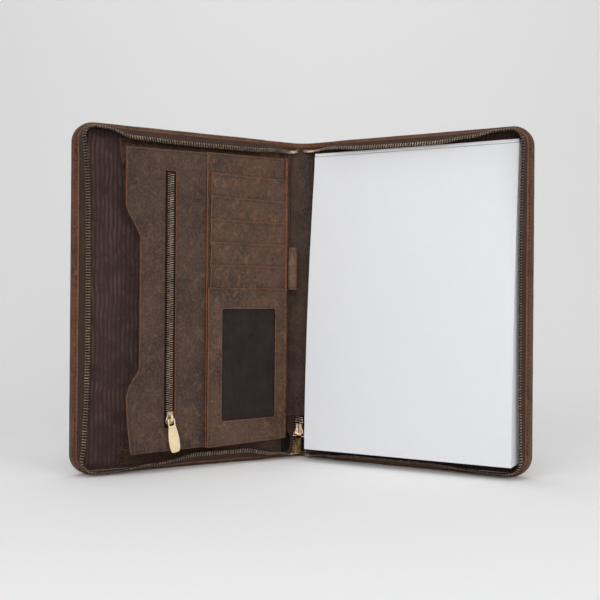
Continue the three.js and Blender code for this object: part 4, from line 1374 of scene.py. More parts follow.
@dataclass
class CoverShell:
    """Cover wrap with its spine, edge bands, hems and linings."""

    shop: Workshop
    sizes: ShellSizes
    rims: dict[int, Rim]

    def build(self) -> None:
        """Builds and dresses every piece of the shell."""
        self.dress_wrap()
        self.dress_bands()
        self.dress_hems()
        self.dress_linings()

    def wrap_outline(self) -> np.ndarray:
        """Gives the unrolled outline of the one hide that wraps both covers and the spine."""
        arc = CASE.spine_arc
        outer = arc + CASE.cover - CASE.board_inset
        radius = CASE.corner - CASE.board_inset
        low, high = CASE.board_inset, CASE.height - CASE.board_inset
        right = [(arc + self.sizes.seam - self.sizes.seam_slant, 0), (arc + self.sizes.seam, low)]
        for centre, first in ((low + radius, -math.pi / 2), (high - radius, 0)):
            steps = 8
            for i in range(steps + 1):
                angle = first + math.pi / 2 * i / steps
                across, up = radius * math.cos(angle), radius * math.sin(angle)
                right.append((outer - radius + across, centre + up))
        seam = arc + self.sizes.seam
        right += [(seam, high), (seam - self.sizes.seam_slant, CASE.height)]
        left = [(-x, y) for x, y in right[::-1]]
        return np.array(right + left, float)

    def dress_wrap(self) -> None:
        """Cuts the cover wrap and lets its outside settle a little over the boards."""

        def outside(flat: np.ndarray, away: np.ndarray) -> np.ndarray:
            """Sinks the face softly and presses a crease beside the spine."""
            settle = swells(flat, (60, 5, 0.22), (17, 6, 0.1))
            crease = hump(np.abs(flat[:, 0]) - CASE.spine_arc - 4, 1.6) * 0.7
            return (np.abs(settle) * -0.6 + crease) * np.minimum(away / 6, 1)

        cut = Cut(
            "cover_wrap",
            self.wrap_outline(),
            fold_place,
            CASE.wall,
            spacing=3.4,
            edge_spacing=3.0,
            round_edge=1.1,
            under=outside,
        )
        self.shop.dress(cut.build(), Finish.LEATHER, ["cover_wrap"])

    def dress_bands(self) -> None:
        """Builds both edge bands with the seam that holds the zip tape."""
        for side, label in ((-1, "left"), (1, "right")):
            rim = self.rims[side]
            name = f"edge_band_{label}"
            self.shop.dress(rim.build_band(name), Finish.RIM, [name])
            self.shop.sew(f"band_seam_{label}", rim.seam(Thread(radius=0.36, rise=0.4), 0.55), dark=True)

    def dress_hems(self) -> None:
        """Turns the hems over at both ends of the spine."""
        reach = CASE.spine_arc + self.sizes.hem_reach
        hems = (
            ("top", CASE.height - CASE.hem, CASE.height, self.sizes.hem_top),
            ("bottom", 0.0, CASE.hem, self.sizes.hem_bottom),
        )
        for label, low, high, thickness in hems:
            name = f"spine_hem_{label}"
            cut = Cut(
                name,
                rounded(-reach, low, reach, high, (0.8, 0.8, 0.8, 0.8)),
                fold_place,
                thickness,
                CASE.gap + thickness,
                spacing=1.6,
                edge_spacing=1.4,
                round_edge=0.55,
                rings=(0.3, 0.8),
                relief=lambda flat, away: swells(flat, (7, 9, 0.12)) * np.minimum(away, 1),
            )
            self.shop.dress(cut.build(), Finish.RIM, [name])
            line = np.array([(-reach + 2, low + 1.5), (reach - 2, low + 1.5)])
            self.shop.sew(f"hem_seam_{label}", Thread().row(line, fold_place, CASE.gap + thickness))

    def dress_linings(self) -> None:
        """Stretches the ribbed linings over the covers and the soft leather over the spine."""
        outer = CASE.cover - self.sizes.lining_margin
        radius = CASE.corner - self.sizes.lining_margin
        low = CASE.hem + CASE.gap
        for side, label in ((-1, "left"), (1, "right")):
            radii = (0, radius, radius, 0) if side > 0 else (radius, 0, 0, radius)
            edges = sorted((side * CASE.gap, side * outer))
            name = f"lining_{label}"
            cut = Cut(
                name,
                rounded(edges[0], low, edges[1], CASE.height - low, radii),
                page_place(side),
                1.0,
                LINING_FACE,
                spacing=(1.05, 9.0),
                edge_spacing=4.0,
                round_edge=0.25,
                rings=(0.4,),
                relief=ribbed(4.2, 0.06),
            )
            made = self.shop.dress(cut.build(), Finish.LINING, [name])
        self.dress_spine(low)

    def dress_spine(self, low: float) -> None:
        """Lines the spine, with cloth below the soft leather where the zip ends, darkened as painted shade there.

        Args:
            low: Height of the cloth's lower edge.
        """
        sizes = self.sizes
        half = CASE.spine_arc * 0.94
        radii = (0.6, 0.6, 0.6, 0.6)
        cut = Cut(
            "spine_lining",
            rounded(-half, sizes.spine_lining_bottom, half, sizes.spine_lining_top, radii),
            fold_place,
            1.0,
            LINING_FACE,
            spacing=(1.1, 3.2),
            edge_spacing=2.0,
            round_edge=0.4,
            relief=self.spine_wrinkles,
        )
        self.shop.dress(cut.build(), Finish.SUEDE, ["spine_lining"])
        top = sizes.spine_lining_bottom - CASE.gap
        left = -CASE.spine_arc - sizes.zip_end_wing

        def step(flat: np.ndarray, away: np.ndarray) -> np.ndarray:
            """Lifts the cloth's wing over the edge of the left lining."""
            return LINING_FACE * np.clip((-half - flat[:, 0]) / 0.8, 0, 1)

        cut = Cut(
            "zip_end_cloth",
            rounded(left, low, half, top, radii),
            fold_place,
            sizes.zip_end_cloth,
            CASE.gap + sizes.zip_end_cloth,
            spacing=(0.7, 3.2),
            edge_spacing=2.0,
            round_edge=0.2,
            rings=(0.4,),
            relief=step,
            under=step,
        )
        # The darker tape is painted shade by the foot of the main zip.
        made = self.shop.dress(cut.build(), Finish.TAPE, [], material=self.shop.palette.shadow_tape)

    @staticmethod
    def spine_wrinkles(flat: np.ndarray, away: np.ndarray) -> np.ndarray:
        """Lets the spine's soft leather wrinkle lengthwise."""
        long = flat * np.array([1.0, 0.16])
        wrinkles = swells(long, (4.5, 12, 0.3)) + swells(flat, (9, 13, 0.14))
        return (wrinkles - 0.2) * np.minimum(away / 2, 1)


# Zips, sliders and pulls


@dataclass(frozen=True)
class SliderSizes:
    """Sizes that both sliders share, in millimetres."""

    length: float = 12.2
    half_width: float = 5.0
    plate: float = 1.1
    post: float = 0.9
    bridge_half: float = 1.0
    wire: float = 1.3
    inner_height: float = 2.8
    inner_length: float = 5.2

    @property
    def foot(self) -> float:
        """Height of the bridge opening's lower end along the slider."""
        return -self.length * 0.2


@dataclass(frozen=True)
class PullSizes:
    """Sizes of a pull, in millimetres."""

    length: float
    width: float
    thickness: float = 1.3
    bar: float = 1.3
    eye: float = 2.0
    arm: float = 1.4
    eye_length: float = 5.4


def frame_place(matrix: Matrix) -> Place:
    """Gives the mapping of rows in a frame to the row frame."""
    turn = np.array(matrix.to_3x3())
    shift = np.array(matrix.translation)
    return lambda rows: rows @ turn.T + shift


def smooth_loop(points: np.ndarray, steps: int = 6) -> np.ndarray:
    """Draws a smooth closed loop through points."""
    rows = []
    for corners in zip(np.roll(points, 1, 0), points, np.roll(points, -1, 0), np.roll(points, -2, 0)):
        rows += [curve_point(corners, step / steps) for step in range(steps)]
    return np.array(rows)


@dataclass
class Slider:
    """A zip slider with its two plates, post and bridge, in its own frame.

    The frame has x across, z up along the chain and y towards the side the pull hangs on.
    """

    matrix: Matrix
    channel: float
    sizes: SliderSizes

    def plate(self, name: str, near: bool) -> bpy.types.Object:
        """Builds one plate: domed, with turned rails and a groove down its middle."""
        sizes = self.sizes
        rows = (
            (0.6, 0.5),
            (0.67, 0.42),
            (0.68, 0.18),
            (0.95, -0.13),
            (0.99, -0.27),
            (0.74, -0.41),
            (0.3, -0.485),
        )
        right = [(x * sizes.half_width, y * sizes.length) for x, y in rows]
        left = [(-x, y) for x, y in right[::-1]]
        outline = smooth_loop(np.array(left[::-1] + right[::-1])[::-1], 4)
        sign = 1 if near else -1

        def shape(flat: np.ndarray, away: np.ndarray) -> np.ndarray:
            """Presses the groove, the two slanted lines and the soft edge."""
            up = flat[:, 1] / sizes.length
            groove = hump(flat[:, 0], 0.55) * np.clip((0.42 - np.abs(up - 0.12)) * 12, 0, 1)
            wedge = hump(np.abs(flat[:, 0]) - 2.6 + up * 2.4, 0.5) * np.clip((0.08 - up) * 8, 0, 1)
            return -0.42 * groove * (0 if near else 1) - 0.14 * wedge - 0.2 * hump(away, 0.5)

        def place(rows: np.ndarray) -> np.ndarray:
            """Turns the plate's face to its own side of the slider."""
            across, up, off = rows.T
            own = np.stack([across, sign * off, up], 1)
            return frame_place(self.matrix)(own)

        cut = Cut(
            name,
            outline,
            place,
            sizes.plate,
            self.channel / 2 + sizes.plate,
            spacing=0.42,
            edge_spacing=0.5,
            round_edge=0.42,
            rings=(0.12, 0.3, 0.55),
            relief=shape,
            sharp=60,
        )
        return cut.build()

    def post_and_bridge(self, name: str) -> bpy.types.Object:
        """Builds the post between the plates and the wire bridge over the near plate."""
        sizes = self.sizes
        gap, base = self.channel / 2, self.channel / 2 + sizes.plate
        low, high = sizes.foot, sizes.foot + sizes.inner_length
        top = base + sizes.inner_height + sizes.wire / 2
        wire = sizes.wire / 2
        line = np.array(
            [
                (base - 0.45, low - wire),
                (base + sizes.inner_height * 0.62, low - wire),
                (top - 0.35, low + 0.1),
                (top, low + 0.9),
                (top, high - 0.9),
                (top - 0.35, high - 0.1),
                (base + sizes.inner_height * 0.62, high + wire),
                (base - 0.45, high + wire),
            ]
        )
        fine = resample(line, 0.55, closed=False)
        along = np.gradient(fine, axis=0)
        along /= np.linalg.norm(along, axis=1, keepdims=True)
        normal = np.stack([-along[:, 1], along[:, 0]], 1)
        sides = 10
        rings = []
        for point, away in zip(fine, normal):
            ring = []
            for i in range(sides):
                angle = 2 * math.pi * i / sides
                off = point + away * wire * math.sin(angle)
                ring.append((sizes.bridge_half * math.cos(angle), off[0], off[1]))
            rings.append(ring)
        rings = np.array(rings)
        points = [rings.reshape(-1, 3)]
        faces = skin(len(rings), sides)
        first = len(rings) * sides
        sides = 14
        for off in (-gap - 0.4, gap + 0.4):
            for i in range(sides):
                angle = 2 * math.pi * i / sides
                up = -sizes.length * 0.33 + sizes.length * 0.13 * math.sin(angle)
                points.append(np.array([(sizes.post * math.cos(angle), off, up)]))
        faces += skin(2, sides, first=first)
        placed = frame_place(self.matrix)(np.concatenate(points))
        return add_mesh(name, placed, faces, np.full((len(placed), 3), FAR_FROM_EDGE), 50)

    def bar_matrix(self, turn_back: float, lean: float) -> Matrix:
        """Gives the frame of a pull that hangs from the bridge."""
        sizes = self.sizes
        off = self.channel / 2 + sizes.plate + sizes.inner_height / 2
        hang = Matrix.Translation((0, off, sizes.foot + sizes.inner_height / 2))
        hang = hang @ Matrix.Rotation(math.radians(turn_back), 4, "X")
        hang = hang @ Matrix.Rotation(math.radians(-lean), 4, "Y")
        return self.matrix @ hang @ Matrix.Rotation(math.pi / 2, 4, "X")


@dataclass
class Pull:
    """A zip pull: a domed paddle with an eye, and a bar that runs under the bridge."""

    matrix: Matrix
    sizes: PullSizes
    rim: float

    def build(self, name: str) -> bpy.types.Object:
        """Builds the pull."""
        sizes = self.sizes
        bar = sizes.bar / 2
        low = -(sizes.eye_length + sizes.bar)
        outer = sizes.eye + sizes.arm
        paddle = ((0.42, 0.36), (0.5, 0.62), (0.47, 0.84), (0.37, 0.965), (0.2, 1))
        right = [(outer * 0.6, bar), (outer, bar - 0.9), (outer, low + 1), (outer + 0.1, low - 1.2)]
        right += [(sizes.width * across, -sizes.length * down) for across, down in paddle]
        left = [(-x, y) for x, y in right[::-1]]
        outline = smooth_loop(np.array(right + left), 4)
        outline[:, 1] = np.clip(outline[:, 1], -sizes.length, bar)
        outline[:, 0] = np.clip(outline[:, 0], -sizes.width / 2, sizes.width / 2)
        eye = rounded(-sizes.eye, low, sizes.eye, -bar, (1.2, 1.2, 0.3, 0.3))

        def dish(flat: np.ndarray, away: np.ndarray) -> np.ndarray:
            """Domes or dishes the paddle and raises a bead along every edge."""
            on_plate = np.clip((low - 1.5 - flat[:, 1]) / 2, 0, 1)
            start, width = (0.9, 0.5) if self.rim > 0 else (0.2, 3.6)
            dome = np.sin(np.clip((away - start) / width, 0, 1) * math.pi / 2)
            return -self.rim * on_plate * dome + 0.12 * np.exp(-((away - 0.6) ** 2) * 8)

        cut = Cut(
            name,
            outline,
            frame_place(self.matrix),
            sizes.thickness,
            sizes.thickness / 2,
            holes=[eye],
            spacing=0.75,
            edge_spacing=0.7,
            round_edge=0.5,
            rings=(0.15, 0.4, 0.9, 1.4),
            relief=lambda flat, away: dish(flat, away) - 0.12,
            under=lambda flat, away: -dish(flat, away) + 0.12,
            sharp=60,
        )
        return cut.build()


@dataclass(frozen=True)
class ToothSizes:
    """Sizes of one metal tooth and its pitch, in millimetres."""

    pitch: float = 2.5
    length: float = 1.25
    thickness: float = 2.1
    foot: float = 0.5

    def shape(self, reach: float) -> tuple[np.ndarray, list[tuple[int, ...]]]:
        """Gives a tooth: two legs' width at its foot, a waist and a rounded head.

        Args:
            reach: From the tape's edge to the tooth's tip.

        Returns:
            Points as rows (across, along, off) and faces.
        """
        rows = (
            (-self.foot, 0.7, 0.66),
            (-self.foot + 0.3, 1.0, 1.0),
            (0.3 * reach, 1.0, 1.0),
            (0.48 * reach, 0.74, 0.8),
            (0.66 * reach, 0.78, 0.7),
            (0.92 * reach, 0.6, 0.54),
            (reach, 0.36, 0.34),
        )
        corners = ((-1, -0.6), (-0.7, -1), (0.7, -1), (1, -0.6), (1, 0.6), (0.7, 1), (-0.7, 1), (-1, 0.6))
        points = [
            (across, b * self.length / 2 * wide, c * self.thickness / 2 * thick)
            for across, wide, thick in rows
            for b, c in corners
        ]
        return np.array(points), skin(len(rows), len(corners))


@dataclass(frozen=True)
class PerimeterSizes:
    """Sizes of the zip round the rim, in millimetres."""

    tape: float = 8.3
    tape_thickness: float = 0.9
    tape_gap: float = 0.6
    chain: float = 2.8
    chain_thickness: float = 2.2
    parting: float = 0.9
    cord: float = 1.7
    set_off: float = 1.5
    across: float = -1.1
    height: float = 28.1
    stand_off: float = 7.6
    tilt: float = 20.0
    turn_in: float = 64.0
    turn_up: float = 76.0
    tuck: float = 2.2
    lean: float = -7.0


@dataclass
class Section:
    """A place along one half of the zip: tape root and edge, and the tooth's tip and face."""

    root: np.ndarray
    edge: np.ndarray
    tip: np.ndarray | None = None
    off: np.ndarray | None = None
    closed: float = 0.0


@dataclass
class PerimeterZip:
    """The zip round the case: two toothed tapes, the main slider and its pull."""

    shop: Workshop
    sizes: PerimeterSizes
    rims: dict[int, Rim]

    def __post_init__(self) -> None:
        """Sets up the slider's frame at the foot of the spine."""
        sizes = self.sizes
        self.slider_sizes = SliderSizes()
        rise = CASE.fold_radius + CASE.fold_centre
        place = Matrix.Translation((sizes.across, rise - sizes.stand_off - CASE.set_back, sizes.height))
        self.matrix = place @ Matrix.Rotation(math.radians(-sizes.tilt), 4, "X")

    def build(self) -> None:
        """Builds and dresses both halves, the slider and the pull."""
        for side, label in ((-1, "left"), (1, "right")):
            self.build_half(side, label)
        channel = self.sizes.chain_thickness + 2 * CASE.gap
        slider = Slider(self.matrix, channel, self.slider_sizes)
        rose = self.shop.palette.rose
        self.shop.dress(slider.plate("main_slider_face", False), Finish.GOLD, ["main_slider"], material=rose)
        self.shop.dress(slider.plate("main_slider_back", True), Finish.GOLD, material=rose)
        self.shop.dress(slider.post_and_bridge("main_slider_bridge"), Finish.GOLD, material=rose)
        pull = Pull(slider.bar_matrix(self.sizes.tilt, self.sizes.lean), PullSizes(24, 9.6), rim=0.28)
        bronze = self.shop.palette.bronze
        self.shop.dress(pull.build("main_pull"), Finish.BRASS, ["main_pull"], Body.MAIN_PULL, bronze)

    def in_slider(self, across: float, up: float, off: float = 0.0) -> np.ndarray:
        """Gives a place in the main slider's frame."""
        return frame_place(self.matrix)(np.array([(across, off, up)]))[0]

    @staticmethod
    def held_rows(steps: int) -> list[tuple[float, float, float]]:
        """Gives rows (share along the slider, spread, bow in degrees) up the slider."""
        table = np.array([(-0.62, 1.5, 72), (-0.3, 1.1, 48), (0.1, 0, 22), (0.5, 0, 17)], float)
        shares = np.linspace(0, 3, 3 * steps + 1)
        return [tuple(float(np.interp(share, range(4), table[:, k])) for k in range(3)) for share in shares]

    def flat_section(self, side: int, height: float) -> Section:
        """Gives a section that lies flat against the spine."""
        sizes = self.sizes
        parting = sizes.parting / 2
        half = parting + sizes.chain + sizes.set_off

        def at(across: float) -> np.ndarray:
            """Gives the place on the unrolled wrap behind a distance from the zip's middle."""
            x = sizes.across + side * across
            if abs(x) > CASE.half_spine:
                beyond = (abs(x) - CASE.half_spine) / math.cos(CASE.half_angle)
                along = math.copysign(CASE.spine_arc + beyond, x)
            else:
                along = math.asin(x / CASE.fold_radius) * CASE.fold_radius
            return fold_place(np.array([(along, height, sizes.tuck)]))[0]

        return Section(at(half + sizes.tape), at(half), at(parting), np.array([0.0, 1.0, 0.0]), 1.0)

    def free_stretch(
        self, start: Section, end: Section, leave: np.ndarray, meet: np.ndarray, steps: int
    ) -> list[Section]:
        """Gives the free tape between two held sections.

        Args:
            start: The held section that it leaves.
            end: The held section that it comes to.
            leave: Its direction at the start, longer for a wider curve.
            meet: Its direction at the end.
            steps: Number of steps between the two.

        Returns:
            The sections between them.
        """
        made = []
        for i in range(1, steps):
            t = i / steps
            weights = (2 * t**3 - 3 * t**2 + 1, t**3 - 2 * t**2 + t, 3 * t**2 - 2 * t**3, t**3 - t**2)
            root, edge = (
                weights[0] * a + weights[1] * leave + weights[2] * b + weights[3] * meet
                for a, b in ((start.root, end.root), (start.edge, end.edge))
            )
            across = root - edge
            made.append(Section(edge + across / np.linalg.norm(across) * self.sizes.tape, edge))
        return made

    def path(self, side: int) -> list[Section]:
        """Gives one half's sections, from under the top hem to under the spine lining."""
        sizes, rim = self.sizes, self.rims[side]
        along_rim = []
        for station in rim.stations:
            line, lean = rim.section(station)
            angle = math.radians(lean)
            direction = np.array([-math.sin(angle), math.cos(angle)])
            root = line[-1] + direction * sizes.tape_gap
            pair = rim.place(station, np.array([root, root + direction * sizes.tape]))
            along_rim.append(Section(pair[0], pair[1]))
        inward = page_place(side)(np.array([(0, 0, 0), (side, 0, 0)], float))
        inward = inward[0] - inward[1]
        parting = sizes.parting / 2
        half = parting + sizes.chain + sizes.set_off
        off = self.in_slider(0, 0, 1) - self.in_slider(0, 0)
        held = []
        for share, spread, bow in self.held_rows(4):
            up = share * self.slider_sizes.length
            turn = math.radians(bow)
            out = half + spread
            root_out = out + sizes.tape * math.cos(turn)
            root = self.in_slider(side * root_out, up, -sizes.tape * math.sin(turn))
            tip = self.in_slider(side * (parting + spread), up)
            held.append(Section(root, self.in_slider(side * out, up), tip, off, 1.0 - min(spread / 1.1, 1)))
        last = self.flat_section(side, ShellSizes().spine_lining_bottom - CASE.gap)
        above = held[-1]
        pairs = ((above.root, last.root), (above.edge, last.edge), (above.tip, last.tip), (off, last.off))
        between = [Section(*((1 - t) * a + t * b for a, b in pairs), 1.0) for t in (0.25, 0.5, 0.75)]
        up_chain = self.in_slider(0, sizes.turn_up) - self.in_slider(0, 0)
        foot = self.free_stretch(along_rim[-1], held[0], inward * sizes.turn_in, up_chain, 22)
        tucked = self.flat_section(side, CASE.height - CASE.hem - 3 * CASE.gap)
        tucked.closed = 0.0
        head = self.free_stretch(tucked, along_rim[0], np.array([0.0, -8.0, -18.0]), inward * -22, 18)
        return [tucked, *head, *along_rim, *foot, *held, *between, last]

    def build_half(self, side: int, label: str) -> None:
        """Builds one tape and its teeth."""
        sizes = self.sizes
        path = self.path(side)
        edges = np.array([section.edge for section in path])
        rings, hides, tips, aways = [], [], [], []
        along = run_along(edges)
        for i, section in enumerate(path):
            across = section.edge - section.root
            width = np.linalg.norm(across)
            across /= width
            run = edges[min(i + 1, len(path) - 1)] - edges[max(i - 1, 0)]
            off = np.cross(across, run)
            off /= np.linalg.norm(off)
            rings.append(self.tape_ring(section, across, off, width, along[i], side))
            shares = np.concatenate([np.linspace(0, 1, 7), np.linspace(1, 0, 7)])
            away = np.minimum(shares, 1 - shares) * sizes.tape
            hides.append(np.column_stack([shares * sizes.tape, np.full(14, along[i]), away]))
            toward = across if section.tip is None else section.tip - section.edge
            toward = toward / np.linalg.norm(toward)
            tips.append(toward)
            aways.append(off if section.off is None else section.off * (1 if section.off @ off > 0 else -1))
        name = f"zip_tape_{label}"
        self.shop.dress(loft(name, np.array(rings), np.array(hides), sharp=70), Finish.TAPE, [name])
        self.dress_cord(label, edges, np.array(tips), np.array(aways), along)
        self.place_teeth(side, label, path, edges, along, np.array(tips), np.array(aways))

    def dress_cord(
        self, label: str, edges: np.ndarray, tips: np.ndarray, aways: np.ndarray, along: np.ndarray
    ) -> None:
        """Runs the woven cord that the teeth grip along the tape's edge, near-black as painted shade between the
        teeth.
        """
        radius, reach, sides = self.sizes.cord / 2, self.sizes.cord / 2 - 0.2, 8
        angles = 2 * math.pi * np.arange(sides) / sides
        rings = []
        for edge, toward, away in zip(edges, tips, aways):
            ring = edge + toward * reach + np.outer(np.cos(angles), toward) * radius
            rings.append(ring + np.outer(np.sin(angles), away) * radius)
        far = np.full(sides, FAR_FROM_EDGE)
        hides = [np.column_stack([angles * radius, np.full(sides, run), far]) for run in along]
        made = loft(f"zip_cord_{label}", np.array(rings), np.array(hides), sharp=70)
        self.shop.dress(made, Finish.TAPE, material=self.shop.palette.cord)

    def tape_ring(
        self, section: Section, across: np.ndarray, off: np.ndarray, width: float, along: float, side: int
    ) -> np.ndarray:
        """Gives the tape's section: a flat ribbon that waves slightly and swells into a bead at its edge."""
        shares = np.linspace(0, 1, 7)
        spots = np.column_stack([shares * 8, np.full(7, along)])
        wave = smooth_noise(spots, 30, 21 + side) * 0.2 * np.sin(shares * math.pi)
        thick = np.array([0.25, 0.42, 0.42, 0.42, 0.42, 0.5, 0.35]) * self.sizes.tape_thickness / 0.9
        middle = section.root + across * (shares * width)[:, None] + off * wave[:, None]
        return np.concatenate([middle + off * thick[:, None], (middle - off * thick[:, None])[::-1]])

    def place_teeth(
        self,
        side: int,
        label: str,
        path: Sequence[Section],
        edges: np.ndarray,
        along: np.ndarray,
        tips: np.ndarray,
        aways: np.ndarray,
    ) -> None:
        """Sets the teeth along the tape's edge, so that both halves mesh above the slider."""
        sizes, tooth = self.sizes, ToothSizes()
        closed = np.array([section.closed for section in path])
        start = along[-1] - (0.25 if side < 0 else 0.75) * tooth.pitch
        values = np.arange(start, 0.6, -tooth.pitch)
        draw = np.random.default_rng(30 + side)
        parts = []
        for value in values:
            toward = row_at(tips, along, value)
            toward /= np.linalg.norm(toward)
            away = row_at(aways, along, value)
            away -= toward * (away @ toward)
            away /= np.linalg.norm(away)
            run = np.cross(away, toward)
            closing = float(np.interp(value, along, closed))
            meshed = replace(tooth, foot=tooth.foot - 1.2 * closing, length=tooth.length - 0.45 * closing)
            shape, faces = meshed.shape(sizes.set_off + sizes.chain + closing)
            turn = draw.normal(0, 0.02, 3)
            basis = np.stack([toward, run, away])
            basis += np.cross(turn, basis)
            parts.append((row_at(edges, along, value) + shape @ basis, faces))
        name = f"zip_chain_{label}"
        self.shop.dress(join_parts(name, parts), Finish.BRASS, [name])


# Organizer on the left cover


@dataclass(frozen=True)
class PanelSizes:
    """Sizes of the organizer's panels, slots and window, in millimetres."""

    underlap: float = 5.0
    wave_depth: float = 14.6
    wave_bottom: float = 63.0
    wave_top: float = ORGANIZER.zip_top - 67.0
    wave_slope: float = 21.0
    slot_count: int = 5
    slot_pitch: float = 22.0
    slot_drop: float = 20.2
    slot: float = 1.2
    slot_tuck: float = 3.0
    slot_margin: float = 3.2
    rail_top: float = 20.5
    rail_bottom: float = 24.1
    rail_left: float = 16.2
    rail_right: float = 15.6
    mesh_overlap: float = 5.0
    strip: float = 3.4
    strip_thickness: float = 2.8

    @property
    def seat(self) -> float:
        """Height off the organizer's face of what lies on the card panel."""
        return 2 * CASE.gap + ORGANIZER.leather

    @property
    def frame_base(self) -> float:
        """Back face of the window frame."""
        return self.seat + self.slot + 2 * CASE.gap

    @property
    def first_lip(self) -> float:
        """Height of the top slot's lip."""
        return ORGANIZER.top - self.slot_drop

    @property
    def frame_lip(self) -> float:
        """Height of the window frame's lip."""
        return self.first_lip - self.slot_count * self.slot_pitch

    @property
    def right(self) -> float:
        """Right edge of the slots and the frame."""
        return -ORGANIZER.right_margin - self.strip - CASE.gap

    @property
    def window(self) -> tuple[float, float, float, float]:
        """Left, bottom, right and top of the window."""
        return (
            ORGANIZER.card_left + self.rail_left,
            ORGANIZER.bottom + self.rail_bottom,
            -ORGANIZER.right_margin - self.rail_right,
            self.frame_lip - self.rail_top,
        )


@dataclass(frozen=True)
class PocketZipSizes:
    """Sizes of the zip in the organizer's face, in millimetres."""

    slot: float = 11.4
    top: float = ORGANIZER.zip_top - 18.1
    bottom: float = ORGANIZER.bottom + 21.2
    inset: float = 40.4
    tape: float = 26.0
    chain: float = 6.4
    chain_thickness: float = 1.8
    rise: float = 9.6
    lean: float = -10.0

    @property
    def centre(self) -> float:
        """Middle of the slot across the organizer."""
        return ORGANIZER.zip_left + self.inset + self.slot / 2


@dataclass
class Organizer:
    """Panels, card slots, note window, edge strip and gussets of the organizer."""

    shop: Workshop
    sizes: PanelSizes
    zip_sizes: PocketZipSizes

    def build(self) -> None:
        """Builds and dresses every piece of the organizer."""
        self.dress_panels()
        self.dress_slots()
        self.dress_window()
        self.dress_edge_strip()
        self.dress_gussets()

    def wave(self, margin: float) -> list[tuple[float, float]]:
        """Gives the wavy outer edge from bottom to top, moved in by a margin."""
        sizes = self.sizes
        deep, slope, low = sizes.wave_depth, sizes.wave_slope, ORGANIZER.bottom + sizes.wave_bottom
        rows = [
            (6.4, ORGANIZER.bottom),
            (2.8, ORGANIZER.bottom + sizes.wave_bottom * 0.45),
            (1.4, low - slope * 0.5),
            (deep * 0.26, low - slope * 0.13),
            (deep * 0.58, low + slope * 0.24),
            (deep - 0.7, low + slope * 0.61),
            (deep, low + slope * 0.8),
            (deep, sizes.wave_top - slope * 0.65),
            (deep * 0.82, sizes.wave_top - slope * 0.38),
            (deep * 0.51, sizes.wave_top),
            (deep * 0.15, sizes.wave_top + slope * 0.37),
            (0, sizes.wave_top + slope * 0.75),
            (0, ORGANIZER.zip_top - margin),
        ]
        return [(ORGANIZER.zip_left + margin + across, up) for across, up in rows]

    def dress_panels(self) -> None:
        """Cuts the zip panel, the back lining and the card panel."""
        self.dress_zip_panel()
        self.dress_back()
        left, edge = ORGANIZER.card_left, -ORGANIZER.right_margin
        shape = np.array(
            [
                (left, ORGANIZER.bottom),
                (edge, ORGANIZER.bottom + 1.6),
                (edge, ORGANIZER.top + 2),
                (left, ORGANIZER.top - 1),
            ]
        )
        cut = Cut(
            "card_panel",
            shape,
            organizer_place,
            ORGANIZER.leather,
            CASE.gap + ORGANIZER.leather,
            spacing=4,
            relief=self.soft_relief(31),
        )
        self.shop.dress(cut.build(), Finish.LEATHER, ["card_panel"], material=self.shop.palette.pale_leather)

    def dress_zip_panel(self) -> None:
        """Cuts the wave-edged panel with the slot for its zip."""
        sizes, zips = self.sizes, self.zip_sizes
        right = ORGANIZER.card_left + sizes.underlap
        corners = [(right, ORGANIZER.top - 1.2), (right, ORGANIZER.bottom + 0.4)]
        half = zips.slot / 2
        slot = rounded(zips.centre - half, zips.bottom, zips.centre + half, zips.top, (1.6,) * 4)
        cut = Cut(
            "zip_panel",
            np.array(self.wave(0) + corners)[::-1],
            organizer_place,
            ORGANIZER.leather,
            holes=[slot],
            spacing=3.4,
            relief=self.zip_panel_relief,
        )
        self.shop.dress(cut.build(), Finish.LEATHER, ["zip_panel"])

    def dress_back(self) -> None:
        """Stretches the cloth back behind the organizer's panels."""
        edge = -ORGANIZER.right_margin
        corners = [(edge, ORGANIZER.top - 1.5), (edge, ORGANIZER.bottom + 1.5)]
        back = np.array(self.wave(1.5) + corners)[::-1]
        cut = Cut(
            "organizer_lining",
            back,
            organizer_place,
            ORGANIZER.lining,
            ORGANIZER.back,
            spacing=6,
            rings=(0.4,),
        )
        made = self.shop.dress(cut.build(), Finish.LINING, ["organizer_lining"])

    def zip_panel_relief(self, flat: np.ndarray, away: np.ndarray) -> np.ndarray:
        """Shapes the zip panel: soft swells, and the pressed line round the zip's slot."""
        zips = self.zip_sizes
        swell = swells(flat, (55, 33, 0.3), (14, 34, 0.08))
        box = np.maximum(
            np.abs(flat[:, 0] - zips.centre) - zips.slot / 2 - 3,
            np.abs(flat[:, 1] - (zips.top + zips.bottom) / 2) - (zips.top - zips.bottom) / 2 - 3,
        )
        pressed = -0.22 * hump(box, 0.5)
        return swell * np.minimum(away / 5, 1) * 0.6 - 0.12 + pressed

    @staticmethod
    def soft_relief(seed: int) -> Relief:
        """Gives a face that swells softly away from its edges."""

        def relief(flat: np.ndarray, away: np.ndarray) -> np.ndarray:
            """Swells the face, less within 4 mm of its edge."""
            swell = swells(flat, (40, seed, 0.2), (12, seed + 1, 0.07))
            return (swell - 0.2) * np.minimum(away / 4, 1)

        return relief

    def dress_slots(self) -> None:
        """Sews the overlapping card slots onto the card panel."""
        for index in range(self.sizes.slot_count):
            self.dress_slot(index)

    def dress_slot(self, index: int) -> None:
        """Sews one slot, which rises towards its lip over the slot above.

        Args:
            index: Number of the slot from the top, starting at 0.
        """
        sizes = self.sizes
        left, right = ORGANIZER.card_left + sizes.slot_margin, sizes.right
        rise = sizes.slot + 2 * CASE.gap
        lip = sizes.first_lip - index * sizes.slot_pitch
        low = lip - sizes.slot_pitch - sizes.slot_tuck
        middle_x = (left + right) / 2

        def place(rows: np.ndarray) -> np.ndarray:
            """Lays the slot on the card panel, higher towards its lip."""
            share = np.clip((rows[:, 1] - low) / (lip - low), 0, 1)
            off = rows[:, 2] + sizes.seat + rise * share
            return organizer_place(np.column_stack([rows[:, :2], off]))

